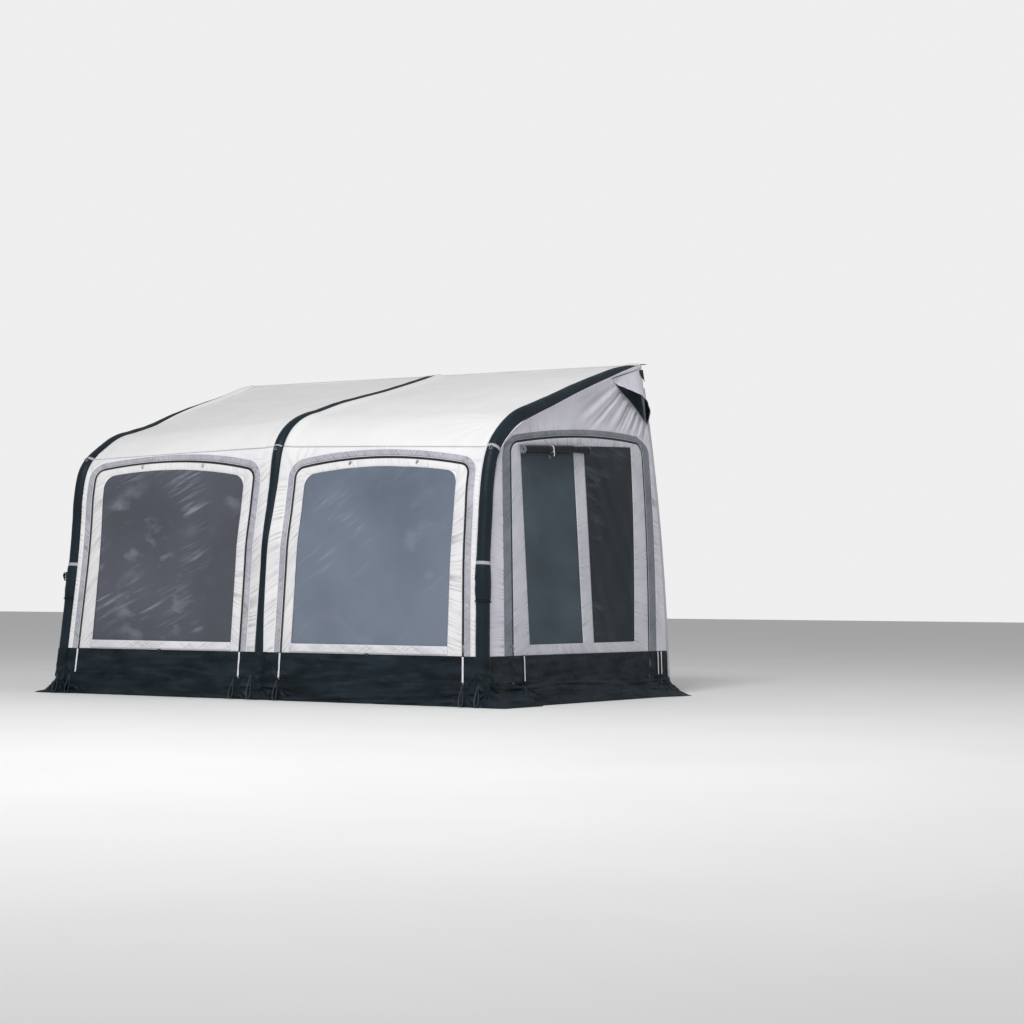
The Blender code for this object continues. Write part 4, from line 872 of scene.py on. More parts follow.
# cloth from a fixed angle round the cover to the wrapped edge
def wrapPatch(side, which, first, start, seed, columns=18, rows=240, end=None):
    s = np.linspace(start, end or total - 0.002, rows)[:, None]
    t = np.linspace(0, 1, columns)[None]
    angle = mix(np.radians(first) + 0 * s, wrapAngle(s, which), t)
    edge = np.abs(angle - wrapAngle(s, which)) * cover["radius"]
    radius = ((cover["radius"] + wrap["stand"]) * beamTaper(s)
        + 0.0013 * humps(s + 0.4 * edge, 0.032, seed) * np.exp(-edge / 0.02) * smooth(edge / 0.004))
    return patch(aroundBeam(side, s, radius, angle), s + 0 * t, angle * 0.05, edge)


def makeRoof(label, side):
    columns, rows = 150, 210
    t = np.linspace(0, 1, columns)[None]
    r = np.linspace(0, 1, rows)[:, None]
    start = 1.88 * np.ones_like(t)
    for _ in range(3):  # the seam's length depends on where across it is, which depends on the length
        start = seamLength(mix(slotHalf(start), outerEdge(start), t), side) + 0.0004
    s = mix(start, total, r)
    x = mix(slotHalf(s), outerEdge(s), t)
    edge = np.minimum(t, 1 - t) * (outerEdge(s) - slotHalf(s))
    seam = np.minimum(edge, s - start)
    cornerX, cornerS = x - outerEdge(s), s - 2.22
    far = np.hypot(cornerX, cornerS * 0.9)
    angle = np.arctan2(cornerS, -cornerX)
    fan = (0.5 + 0.5 * np.sin(angle * 17 + 2.2 * np.sin(angle * 3 + side))
        * np.exp(-((far - 0.20) / 0.24) ** 2))
    fan = (fan - 0.5) * (1.0 if side > 0 else 0.6) * smooth(-cornerX / 0.05)
    hold = smooth(edge / 0.02)
    sag = -0.005 * np.sin(pi * t) * smooth((s - start) / 0.3) * (1 - 0.8 * np.exp(-((s - 2.75) / 0.22) ** 2))
    level = climb(x, s) + (0.0036 * fan + 0.0014 * swell(x, s, 0.34, 31 + side)) * hold + sag
    level = (level + 0.0022 * humps(x + 0.12 * s, 0.05, 41 + side) * np.exp(-(s - start) / 0.05)
        * smooth((s - start) / 0.006) * hold)
    level = (level + 0.0016 * humps(s - 0.3 * edge, 0.045, 43 + side) * np.exp(-edge / 0.06)
        * smooth(edge / 0.006))
    third = mix(2.95, 2.98, t) + 0 * s
    level = level - 0.0016 * np.exp(-((s - third) / 0.004) ** 2)
    seam = np.minimum(seam, np.abs(s - third) + 0.004)
    patches = [patch(onFront(side, x, s, level), x, s, seam),
        wrapPatch(side, "roofLeft" if side < 0 else "roofRight", -66.0, 1.90, 45 + side)]
    made = makePiece("roofSheet_" + label, patches, finishes["roofCloth"], "shell",
                     ["roof_" + label], (0, -1, 1), shell["clothThickness"])
    stretchedSheet(made)


def makeSeamPiping(label, side):  # the thin welted seam between roof and front wall
    x = np.linspace(float(slotHalf(1.88)) + 0.002, float(outerEdge(1.86)) - 0.002, 160)
    s = seamLength(x, side)
    path = onFront(side, x, s, climb(x, s) + 0.0012)
    makePiece("roofSeam_" + label, [tube(path, 0.0024, 8)], finishes["zipGuard"], "shell")


def makeFrontZip(label, side):
    # the tape crosses in steps: flat cloth, then a round coil in the middle
    arch, normal = frontArch(zipFootS + 0.004)
    offs = np.array([-14.5, -9.0, -3.8, -2.8, -1.5, 0.0, 1.5, 2.8, 3.8, 8.0, 12.5]) / 1000
    rise = np.array([-0.6, 0.4, 0.9, 2.3, 3.1, 3.4, 3.1, 2.3, 0.9, 0.4, -0.6]) / 1000
    line = arch[None] + normal[None] * offs[:, None, None]
    x, s = line[..., 0], line[..., 1]
    along = np.broadcast_to(walk(arch)[None], x.shape)
    makePiece("frontZip_" + label, [patch(onFront(side, x, s, rise[:, None] - 0.0012), along,
        offs[:, None])], finishes["zipCoil"], "shell", ["front_zip_tape_" + label], (0, -1, 0.2), 0.0009)
    arch, normal = frontArch(darkS + 0.0005)
    offs = np.linspace(front["guardStart"] + 0.0030, front["guardEnd"], 11)
    line = arch[None] + normal[None] * offs[:, None, None]
    x, s = line[..., 0], line[..., 1]
    along = np.broadcast_to(walk(arch)[None], x.shape)
    t = np.linspace(0, 1, 11)[:, None] + 0 * along
    ruffle = (humps(along + 0.9 * offs[:, None], 0.031, 61 + side) * (0.35 + 0.65 * (1 - t))
        + 0.5 * humps(along - 0.5 * offs[:, None], 0.047, 62))
    shade = (valleys(along + 0.9 * offs[:, None], 0.031, 61 + side) * (0.5 + 0.5 * (1 - t))
        + 0.5 * valleys(along - 0.5 * offs[:, None], 0.047, 62))
    level = climb(x, s) + 0.0020 + 0.0052 * np.sin(pi * t) ** 0.6 * ruffle + 0.0008 * (1 - t) ** 2
    made = makePiece("frontZipGuard_" + label, [patch(onFront(side, x, s, level), along,
        t * front["guardCloth"], np.minimum(t, 1 - t) * front["guardCloth"], np.clip(shade, 0, 1))],
        finishes["zipGuard"], "shell", ["front_zip_cover_" + label], (0, -1, 0.2), 0.0011)
    stretchedSheet(made)


window = {
    "inner": 0.090,
    "outer": 0.145,
    "taper": 0.022,
    "base": 0.418,
    "top": 0.062,
    "rise": 0.055,
    "fillet": 0.070,
    "frameRows": 16,
    "bottomCount": 170,
}
windowBase = float(lengthAt(window["base"]))


def windowInner(s):
    return front["zipInner"] + window["inner"] + 0 * np.asarray(s, float)


def windowOuter(s):
    return (shell["footHalfWidth"] - front["zipOuter"] - window["outer"]
        - window["taper"] * np.asarray(s, float))


def windowArch(low, fillet=None):
    crown = float(lengthAt(front["crown"] - window["top"]))
    return archLine(windowInner, windowOuter, low, crown, window["rise"], fillet or window["fillet"],
        front["counts"])


def closedLine(line, count):  # carries an outline back along its base to its start
    base = spread(np.stack([line[-1], line[0]]), count)[1:]
    return np.concatenate([line, base, line[:1]])


def makeFrontPanel(label, side):
    body = "front_panel_" + label
    low = darkS + 0.0003
    arch, normal = frontArch(low)
    hole, _ = windowArch(windowBase, 0.028)
    inner = closedLine(hole, window["bottomCount"])
    outer = closedLine(arch - normal * (front["cut"] + 0.0052), window["bottomCount"])
    grid, off, width, along = between(inner, outer, window["frameRows"])
    x, s = grid[..., 0], grid[..., 1]
    height, shade = puckers(along, off, width, 0.034, -0.55 * side, 200 + side, 0.06, 0.7)
    upright = 0.45 + 0.55 * smooth((lengthAt(1.62) - s) / 0.1)
    level = 0.0056 * height * upright + 0.0035 * np.sin(pi * off / width) - 0.0004
    seam = np.minimum(off, width - off)
    makePiece("windowFrame_" + label, [patch(onFront(side, x, s, level), along, off, seam, shade * upright)],
        finishes["frontCloth"], body, ["front_panel_" + label], (0, -1, 0.2), shell["clothThickness"])
    film, _ = windowArch(windowBase - 0.006, 0.095)
    count = len(film) // 2
    a, b = film[:count], film[::-1][:count]
    t = np.linspace(0, 1, 110)[None, :, None]
    grid = mix(a[:, None], b[:, None], t)
    x, s = grid[..., 0], grid[..., 1]
    edge = np.minimum(np.minimum(x - windowInner(s), windowOuter(s) - x), s - windowBase)
    level = (-0.0030 + (0.0030 * swell(x, s, 0.55, 300 + side)
        + 0.0012 * swell(x + 0.6 * s, s * 0.2, 0.16, 301)) * smooth(edge / 0.08))
    foil = makePiece("windowFilm_" + label, [patch(onFront(side, x, s, level), x, s,
        np.maximum(edge, 0.02))], finishes["leftFilm" if side < 0 else "frontFilm"], body,
        ["window_foil_" + label], (0, -1, 0.2), 0.0008)
    border = closedLine(film, window["bottomCount"])  # the film's hem: a flat welt just outside it
    hem = closedLine(hole, window["bottomCount"])
    grid, off, width, along = between(border, hem, 5, 1.0)
    grid = mix(border[None], hem[None], np.linspace(-0.12, 1.05, 5)[:, None, None])
    welt = onFront(side, grid[..., 0], grid[..., 1], -0.0012 + 0 * off)
    makePiece("filmHem_" + label, [patch(welt, along, off, 0.02 + 0 * off)], finishes["whiteTape"], body, (),
        (0, -1, 0.2), 0.0008)
    makePouch(label, side, body)
    makeDarkFlap(label, side)
    makeToggles(label, side, body)


pouch = {"foot": 0.358, "height": 0.058, "thickness": 0.018, "margin": 0.010, "along": 300, "around": 32,
    "fold": 0.0055}


def makePouch(label, side, body):
    # the blind's pouch: a flat-backed round section whose size swells and creases along its length
    low = float(lengthAt(pouch["foot"]))
    t = np.linspace(0, 1, pouch["along"])[None]
    angle = np.linspace(0, 2 * pi, pouch["around"] + 1)[:, None]
    x0, x1 = float(windowInner(low)) - pouch["margin"], float(windowOuter(low)) + pouch["margin"]
    x = mix(x0, x1, t) + 0 * angle
    creased = (humps(x + 0.06 * np.cos(angle), 0.052, 77 + side)
        + 0.6 * humps(x - 0.05 * np.cos(angle), 0.083, 78 + side))
    size = np.minimum(1.0, np.sqrt(np.clip(np.minimum(t, 1 - t) * 60, 0, 1)))
    face = np.clip(np.sin(angle), 0, 1)
    s = (low + pouch["height"] * (0.5 + 0.5 * np.sign(np.cos(angle)) * np.abs(np.cos(angle)) ** 0.8
        * (0.9 + 0.1 * size)))
    level = (0.0012 + pouch["thickness"] * (0.5 + 0.5 * np.sign(np.sin(angle))
        * np.abs(np.sin(angle)) ** 0.7) * (0.35 + 0.65 * size))
    level = level - pouch["fold"] * creased * face * size + 0.001 * swell(x, s, 0.2, 80 + side) * face
    ends = np.concatenate([[True], np.zeros(pouch["along"] - 2, bool), [True]])[None] & (angle > -1)
    s = np.where(ends, low + pouch["height"] / 2, s)
    level = np.where(ends, 0.006, level)
    # the last argument is painted shade in the pouch's deeper creases, on its front face
    made = makePiece("blindPouch_" + label, [patch(onFront(side, x, s, level), x, s, np.abs(s - low),
        np.clip(creased - 0.5, 0, 1) * 0.8 * face)], finishes["pouchCloth"], body, ["blind_pouch_" + label])


def paintedFoldHighlights(x, h, seed):  # painted highlights where long level folds catch the light: the crests of a stretched swell
    return (np.clip(3.2 * (swell(x * 0.30, h * 2.6, 0.11, 430 + seed) - 0.25), 0, 1)
        * np.clip(0.6 + swell(x, h, 0.2, 431 + seed), 0, 1))


def makeDarkFlap(label, side):
    # the panel's dark foot: soft level folds, sewn to the ground skirt along the fold line
    rows, columns = 26, 220
    s = np.linspace(zipFootS, darkS + 0.0003, rows)[:, None]
    a, b = zipInner(s) + front["cut"], zipOuter(s) - front["cut"]
    t = np.linspace(0, 1, columns)[None]
    x = mix(a, b, t)
    edge = np.minimum(x - a, b - x)
    h = s - zipFootS
    high = darkS - s
    level = ((0.0034 * swell(x * 0.35, s * 2.2, 0.13, 400 + side) + 0.0024 * swell(x, s, 0.16, 401 + side))
        * smooth(high / 0.04) * smooth(h / 0.03))
    level = (level + 0.0022 * humps(x + 0.5 * high, 0.05, 402 + side) * np.exp(-high / 0.03)
        * smooth(high / 0.005))
    level = level * smooth(edge / 0.02)
    # the dark cloth gets painted highlights along level folds
    made = makePiece("panelFoot_" + label, [patch(onFront(side, x, s, level), x, s, np.minimum(edge, high),
        0.55 * paintedFoldHighlights(x, s, 7))], finishes["darkCloth"], None, (), (0, -1, 0.2), shell["clothThickness"])
    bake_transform(made)


toggles = {"places": (0.30, 0.74), "length": 0.026, "radius": 0.0042, "tilt": 0.7}


def makeToggles(label, side, body):  # the toggles of the blind's upper edge, and the pouch's hook
    crown = float(lengthAt(front["crown"] - window["top"])) + 0.030
    for n, share in enumerate(toggles["places"]):
        x = mix(windowInner(crown), windowOuter(crown), share)
        drop = 0.055 * (2 * share - 1) ** 2
        t = np.linspace(-0.5, 0.5, 9)
        path = onFront(side, x + t * toggles["length"] * np.cos(toggles["tilt"]),
            crown - drop + t * toggles["length"] * np.sin(toggles["tilt"]), 0.012)
        round_ = toggles["radius"] * np.sqrt(np.clip(1 - (2 * t) ** 4, 0.05, 1))
        loop = np.linspace(0, pi, 12)
        cord = onFront(side, x + 0.010 * np.cos(loop), crown - drop + 0.004 + 0.016 * np.sin(loop),
            0.009 + 0 * loop)
        makePiece(f"blindToggle{n + 1}_{label}", [tube(path, round_, 12), tube(cord, 0.0014, 6)],
            finishes["greyPlastic"], body)
    x = mix(windowInner(darkS), windowOuter(darkS), 0.5)
    outline = (np.array([[-1, 1], [1, 1], [1, 0.5], [0.35, -0.4], [0.2, -1], [-0.2, -1], [-0.35, -0.4],
        [-1, 0.5], [-1, 1]]) * [0.014, 0.011])
    rings = np.stack([outline * k for k in (0.0, 1.0, 1.0, 0.0)], 0)
    depth = np.array([0.0015, 0.0015, 0.0055, 0.0055])[:, None]
    points = onFront(side, x + rings[..., 0], darkS - 0.006 + rings[..., 1], depth)
    makePiece("pouchHook_" + label, [patch(points, rings[..., 0], rings[..., 1])], finishes["blackPlastic"],
        body)


for label, side in sides.items():
    makeRoof(label, side)
    makeFrontWall(label, side)
    makeSeamPiping(label, side)
    makeFrontZip(label, side)
    makeFrontPanel(label, side)
print("roof and front ready")


# Side walls, their doors and vents

door = {
    "front": 2.137,
    "frontLean": 0.0616,
    "rear": 0.292,
    "rearLean": 0.076,
    "crown": 1.93,
    "rise": 0.050,
    "tilt": 0.062,
    "fillet": 0.095,
    "counts": (400, 40, 400),
    "guardJamb": 0.106,
    "guardTop": 0.050,
    "guardCloth": 0.062,
    "paneFront": 1.900,
    "postFront": 1.205,
    "postWidth": 0.150,
    "paneRear": 0.475,
    "paneRearLean": 0.100,
    "paneBase": 0.425,
    "paneTop": 1.857,
    "wallRows": 46,
    "frameRows": 14,
    "puckerDepth": 0.0036,
}


def doorFront(h):
    return -door["front"] + door["frontLean"] * np.asarray(h, float)


def doorRear(h):
    return -door["rear"] + door["rearLean"] * np.asarray(h, float)


def paneRear(h):
    return -door["paneRear"] + door["paneRearLean"] * (np.asarray(h, float) - door["paneBase"])


def doorArch(low):
    return archLine(doorFront, doorRear, low, door["crown"], door["rise"], door["fillet"], door["counts"])


def tilted(grid):  # the door is drawn level, and its upper part is then raised towards the rear
    y, h = grid[..., 0], grid[..., 1]
    share = np.maximum(0.0, (h - shell["darkHeight"]) / (door["crown"] - shell["darkHeight"]))
    return y, h + door["tilt"] * (y - doorFront(h)) * share


def leaveAngle(s):  # where round the cover the side wall leaves it
    return np.maximum(wrapAngle(s, "side"), np.radians(97.0))


def wallEdge(s, side):  # y, z and stand out of the wall's plane, along the line where it leaves the cover
    radius = (cover["radius"] + wrap["stand"]) * beamTaper(s)
    y, z = profile(s, bow(side, 1.85, s) - shell["beamSink"] + radius * np.cos(leaveAngle(s)))
    return np.stack([y, z, radius * np.sin(leaveAngle(s)) - shell["beamSink"]], -1)


def beamEdgeY(z):
    lean = shell["legLean"]
    return -shell["footDepth"] + z * np.tan(lean) + (shell["beamSink"] + 0.0462) / np.cos(lean)


vent = {"length": 0.58, "shortSide": 0.020, "foot": 2.15, "drop": 0.008, "reach": 0.120, "raise": 0.078,
    "fill": 0.040, "columns": 130, "rows": 60}


def lengthAtDepth(y):
    depth = shell["beamSink"] + 0.006
    return total + (y - depth * np.sin(shell["roofPitch"])) / np.cos(shell["roofPitch"])


def ventCorners(side):
    upperFront, upperRear = wallEdge(lengthAtDepth(-vent["length"]), side), wallEdge(lengthAtDepth(0.0), side)
    return (upperFront, upperFront - np.array([0.0, vent["shortSide"], 0.0]),
        np.array([0.0, vent["foot"], 0.0]), upperRear)


def sideBorder(low, side):  # up the beam, along the roof, under the vent, down the rear
    up, corner, top = door["counts"]
    _, lowerFront, lowerRear, _ = ventCorners(side)
    t = np.linspace(0, 1, 30)[:, None]  # the cloth rises into the vent, below the hood
    under = mix(lowerFront, lowerRear, t) + np.sin(pi * t) * vent["fill"] * np.array([0.46, 0.89, 0.0])
    under[:, 2] = lowerFront[2] * (1 - smooth(t[:, 0] / 0.35))
    s0, s1, s2 = lengthAt(low), 1.52, 2.05
    leg = np.linspace(float(s0), s1, 60)
    foot = np.array([[float(beamEdgeY(low)), low, 0.0]])
    parts = [
        spread(np.concatenate([foot, wallEdge(leg, side)[1:]]), up),
        spread(wallEdge(np.linspace(s1, s2, 40), side), corner),
        spread(np.concatenate([wallEdge(np.linspace(s2, float(lengthAtDepth(-vent["length"])), 80), side),
            under]), top),
        spread(np.array([lowerRear, [0.0, 1.86, 0.0]]), corner),
        spread(np.array([[0.0, 1.86, 0.0], [0.0, low, 0.0]]), up + 1, True),
    ]
    return np.concatenate(parts)


def guardReach(normal):  # how far the zip's guard reaches from the zip: it narrows over the arch
    return mix(door["guardJamb"], door["guardTop"], smooth((normal[:, 1] - 0.1) / 0.8))[None]


def makeSideWall(label, side):
    low = shell["darkHeight"] + 0.0003
    arch, normal = doorArch(low)
    y, z = tilted(arch + normal * front["cut"])
    grid, off, width, along = between(np.stack([y, z, 0 * y], -1), sideBorder(low, side), door["wallRows"],
        0.6)
    y, z, stand = grid[..., 0], grid[..., 1], grid[..., 2] * (off / width) ** 2
    past, room = off - guardReach(normal), np.maximum(width - guardReach(normal), 0.02)
    height, shade = puckers(along, past, room, 0.042, 0.5, 500 + side, 0.055, 0.5)
    free = smooth((past + 0.012) / 0.02)
    # long folds run forward and down from the vent: waves of the angle round a point behind it
    angle = np.arctan2(2.95 - z, 0.46 - y)
    fan = (0.7 * np.sin(angle * 66 + 1.3 * np.sin(angle * 21))
        + 0.34 * np.sin(angle * 139 + 1.6 * np.sin(angle * 33) + side))
    fan = (fan * smooth((y + 1.20) / 0.35) * smooth((z - 1.985) / 0.07)
        * smooth((2.47 + 0.25 * (y + 0.55) - z) / 0.10) * (0.25 + 0.75 * smooth(past / 0.14)))
    held = smooth((width - off) / 0.03) * free
    high = smooth((z - 1.9) / 0.25)
    level = (stand + door["puckerDepth"] * height * free * (1 - 0.6 * high)
        + (0.0085 * fan + 0.002 * swell(y, z, 0.28, 510 + side)) * held)
    # painted shadow under the hood, darkest at the wall's border below the vent
    hoodShadow = (np.exp(-(width - off) / 0.045) * smooth((y + 0.52) / 0.12) * smooth((-0.005 - y) / 0.06)
        * smooth((z - 2.12) / 0.05))
    # painted shade: in the creases' valleys, in the troughs of the long folds, and under the hood
    shade = np.clip(shade * free * (1 - 0.6 * high) + 0.8 * np.clip(-fan - 0.05, 0, 1) * held
        + hoodShadow * (0.85 - 0.3 * fan), 0, 1)
    seam = np.minimum(off, width - off)
    brace = np.abs(y + 1.62 + 0.25 * (z - 2.1))  # the upright seam above the door's front corner
    seam = np.where(z > 2.02, np.minimum(seam, brace + 0.003), seam)
    patches = [patch(onSide(side, y, z, level), y, z, seam, shade),
        wrapPatch(side, "side", 97.5, 3.16, 47 + side, 10, 150)]
    made = makePiece("sideWall_" + label, patches, finishes["sideCloth"], "shell",
                     ["side_wall_" + label], (side, -0.1, 0.05), shell["clothThickness"])
    stretchedSheet(made)


def makeDoorZip(label, side):
    arch, normal = doorArch(shell["zipFoot"] + 0.004)
    offs = np.array([-12.5, -8.0, -3.8, -2.8, -1.5, 0.0, 1.5, 2.8, 3.8, 8.0, 12.5]) / 1000
    rise = np.array([-0.3, 0.3, 0.6, 1.8, 2.6, 2.9, 2.6, 1.8, 0.6, 0.3, -0.3]) / 1000
    y, z = tilted(arch[None] + normal[None] * offs[:, None, None])
    along = np.broadcast_to(walk(arch)[None], y.shape)
    makePiece("doorZip_" + label, [patch(onSide(side, y, z, rise[:, None] - 0.0012), along, offs[:, None])],
        finishes["zipCoil"], "shell", ["door_zip_tape_" + label], (side, -0.1, 0.05), 0.0009)
    arch, normal = doorArch(shell["darkHeight"] + 0.0005)
    offs = mix(front["guardStart"] + 0.003, guardReach(normal), np.linspace(0, 1, 12)[:, None])
    y, z = tilted(arch[None] + normal[None] * offs[..., None])
    along = np.broadcast_to(walk(arch)[None], y.shape)
    t = np.linspace(0, 1, 12)[:, None] + 0 * along
    ruffle = (humps(along + 0.8 * offs, 0.042, 561 + side) * (0.35 + 0.65 * (1 - t))
        + 0.4 * humps(along, 0.071, 562))
    shade = valleys(along + 0.8 * offs, 0.042, 561 + side) * (0.5 + 0.5 * (1 - t))
    level = 0.0022 + 0.0048 * np.sin(pi * t) ** 0.6 * ruffle + 0.0010 * (1 - t) ** 2
    made = makePiece("doorZipGuard_" + label, [patch(onSide(side, y, z, level), along,
        t * door["guardCloth"], np.minimum(t, 1 - t) * door["guardCloth"], shade)], finishes["sideZipGuard"],
        "shell", ["door_zip_cover_" + label], (side, -0.1, 0.05), 0.0011)
    stretchedSheet(made)


def makeDoor(label, side):
    body = "door_" + label
    low = shell["darkHeight"] + 0.0003
    arch, normal = doorArch(low)
    paneFront = lambda h: -door["paneFront"] + 0 * np.asarray(h, float)
    hole, _ = archLine(paneFront, paneRear, door["paneBase"], door["paneTop"], 0.003, 0.016, door["counts"])
    inner, outer = closedLine(hole, 170), closedLine(arch - normal * (front["cut"] + 0.004), 170)
    grid, off, width, along = between(inner, outer, door["frameRows"])
    y, z = tilted(grid)
    height, shade = puckers(along, off, width, 0.031, -0.5, 600 + side, 0.06, 0.8)
    level = 0.0050 * height + 0.003 * np.sin(pi * off / width) - 0.0004
    patches = [patch(onSide(side, y, z, level), along, off, np.minimum(off, width - off), shade)]
    h = np.linspace(door["paneBase"] - 0.012, door["paneTop"] + 0.012, 200)[:, None]
    t = np.linspace(0, 1, 12)[None]
    grid = np.stack(np.broadcast_arrays(-door["postFront"] + door["postWidth"] * t, h), -1)
    y, z = tilted(grid)
    off = door["postWidth"] * np.minimum(t, 1 - t) + 0 * h
    height, shade = puckers(h + 0 * t, door["postWidth"] * t + 0 * h, door["postWidth"] + 0 * off, 0.031,
        0.5, 610 + side, 0.05)
    level = 0.0010 + 0.0045 * height + 0.002 * np.sin(pi * t)
    post = patch(onSide(side, y, z, level), h + 0 * t, off, off, shade)
    frameMade = makePiece("doorFrame_" + label, patches, finishes["doorCloth"], body,
        ["door_panel_" + label], (side, -0.1, 0.05), shell["clothThickness"])
    postMade = makePiece("doorPost_" + label, [post], finishes["doorCloth"], body, (), (side, -0.1, 0.05),
        shell["clothThickness"])
    postRear = -door["postFront"] + door["postWidth"]
    panes = {
        "doorMesh_": (-door["paneFront"] - 0.006, lambda h: -door["postFront"] + 0.006 + 0 * h, "flyMesh",
            "door_mesh_", "mesh_fabric", 0.72),
        "doorFilm_": (postRear - 0.006, lambda h: paneRear(h) + 0.006, "doorFilm", "door_foil_",
            "window_foil", 0.70),
    }
    for name, (start, end, finish, node, slotName, wide) in panes.items():
        h = np.linspace(door["paneBase"] - 0.006, door["paneTop"] + 0.006, 130)[:, None]
        t = np.linspace(0, 1, 64)[None]
        y = mix(start, end(h), t)
        edge = np.minimum(np.minimum(y - start, end(h) - y),
            np.minimum(h - door["paneBase"], door["paneTop"] - h))
        depth = (-0.0026 + (0.0028 * swell(y, h, 0.5, 620 + side)
            + 0.001 * swell(y + 0.5 * h, h * 0.2, 0.15, 621)) * smooth(edge / 0.06))
        y, z = tilted(np.stack(np.broadcast_arrays(y, h), -1))
        made = makePiece(name + label, [patch(onSide(side, y, z, depth), y, z, np.maximum(edge, 0.02))],
            finishes[finish], body, [node + label], (side, -0.1, 0.05), 0.0008)
    h = np.linspace(shell["zipFoot"] - 0.006, low, 24)[:, None]
    t = np.linspace(0, 1, 200)[None]
    a, b = doorFront(h) + front["cut"], doorRear(h) - front["cut"]
    y = mix(a, b, t)
    edge, high = np.minimum(y - a, b - y), low - h
    depth = ((0.0036 * swell(y * 0.4, h * 2.2, 0.13, 630 + side) + 0.0026 * swell(y, h, 0.16, 631))
        * smooth(high / 0.04) * smooth((h - shell["zipFoot"]) / 0.03))
    depth = ((depth + 0.0024 * humps(y + 0.4 * high, 0.055, 632 + side) * np.exp(-high / 0.03)
        * smooth(high / 0.005)) * smooth(edge / 0.02))
    # the dark cloth gets painted highlights along level folds
    made = makePiece("doorFoot_" + label, [patch(onSide(side, y, h + 0 * y, depth), y, h,
        np.minimum(edge, high), 0.55 * paintedFoldHighlights(y, h + 0 * y, 7))], finishes["darkCloth"], body, (),
        (side, -0.1, 0.05), shell["clothThickness"])
    makeBlindRoll(label, side, body)


roll = {"radius": 0.034, "core": 0.006, "turns": 3.5, "length": 0.86, "start": 1.915, "cloth": 0.0012,
    "along": 150, "around": 190}


def makeBlindRoll(label, side, body):
    # the rolled blind: a spiral carried along a line, pinched at its ties, with creases round it
    level = door["paneTop"] + door["tilt"] * (door["front"] - door["paneFront"]) * 0.9
    climbOf = door["tilt"] * roll["length"] * 0.9
    start = onSide(side, np.array(-roll["start"]), np.array(level - roll["radius"]))
    end = onSide(side, np.array(-roll["start"] + roll["length"]), np.array(level - roll["radius"] + climbOf))
    t = np.linspace(0, 1, roll["along"])
    along = (end - start) / np.linalg.norm(end - start)
    out = np.array([side, 0.0, 0.0]) - along * side * along[0]
    out /= np.linalg.norm(out)
    up = np.cross(along, out)
    line = start + (end - start) * t[:, None]
    bulge = (sideX(line[:, 1], line[:, 2]) - np.abs(line[:, 0])).max()
    stand = roll["radius"] + 0.0004 + bulge
    q = np.linspace(0, 1, roll["around"])[:, None]
    angle = 2 * pi * roll["turns"] * q
    pinch = 1 - 0.22 * np.exp(-((t - 0.42) / 0.022) ** 2) - 0.10 * np.exp(-((t - 0.80) / 0.02) ** 2)
    pinch = (pinch * (0.93 + 0.05 * swell(t * 0.86, 0 * t, 0.3, 640 + side)))[None]
    radius = mix(roll["core"], roll["radius"] - 0.0016, q) * pinch
    radius = radius - 0.0012 * humps(t[None] * roll["length"] + 0.01 * np.sin(angle), 0.04, 641 + side) * q
    hang = (-0.004 * np.sin(pi * np.clip(t / 0.42, 0, 1))
        - 0.005 * np.sin(pi * np.clip((t - 0.42) / 0.58, 0, 1)))
    spot = (out * (np.cos(angle) * radius + stand)[..., None]
        + up * (np.sin(angle) * radius + hang[None])[..., None])
    points = line[None] + spot
    made = makePiece("blindRoll_" + label, [patch(points, t[None] * roll["length"], q * 0.5)],
        finishes["blindCloth"], body, ["blind_roll_" + label], (side, 0, 0), roll["cloth"])
    spiral = pi * roll["turns"] * (roll["core"] + roll["radius"]) * 0.95
    q, k = np.linspace(0, 1, 120), np.linspace(0, 2 * pi, 40)
    turns, size = 2 * pi * roll["turns"] * q, mix(roll["core"], roll["radius"] - 0.003, q) * 0.95
    spiral = (start - along * 0.0008 + out * (np.cos(turns) * size + stand)[:, None]
        + up * (np.sin(turns) * size)[:, None])
    cap = end + along * 0.002 + out * (np.cos(k) * 0.026 + stand)[:, None] + up * (np.sin(k) * 0.026)[:, None]
    makePiece("blindEdge_" + label, [tube(spiral, 0.0016, 6), tube(cap, 0.0016, 6, ends=False)],
        finishes["paleWebbing"], body)
    angle = np.linspace(0, 2 * pi, 40)
    middle = start + (end - start) * 0.42 + out * stand
    ringAt = middle + out * (np.cos(angle) * 0.0278)[:, None] + up * (np.sin(angle) * 0.0278 - 0.004)[:, None]
    tailTop = middle + out * 0.027 + up * 0.006
    tail = np.stack([tailTop, tailTop - np.array([0, 0, 0.02]) + out * 0.004,
        tailTop - np.array([0, 0, 0.045]) + out * 0.002])
    makePiece("blindTie_" + label, [ribbon(ringAt, along, 0.012),
        ribbon(spread(tail, 8, True), along, 0.010)], finishes["whiteTape"], body, (), (side, 0, 0), 0.001)
    high = middle + up * 0.052 + out * -0.012
    t = np.linspace(-0.5, 0.5, 9)[:, None]
    path = high + (along * 0.8 + up * 0.6) * t * 0.030
    round_ = 0.0045 * np.sqrt(np.clip(1 - (2 * t[:, 0]) ** 4, 0.05, 1))
    loop = np.linspace(0, 1, 10)[:, None]
    cord = high + (up * 0.016) * np.sin(pi * loop) + along * (0.018 * (loop - 0.5))
    makePiece("tieToggle_" + label, [tube(path, round_, 12), tube(cord, 0.0015, 6)], finishes["greyPlastic"],
        body)


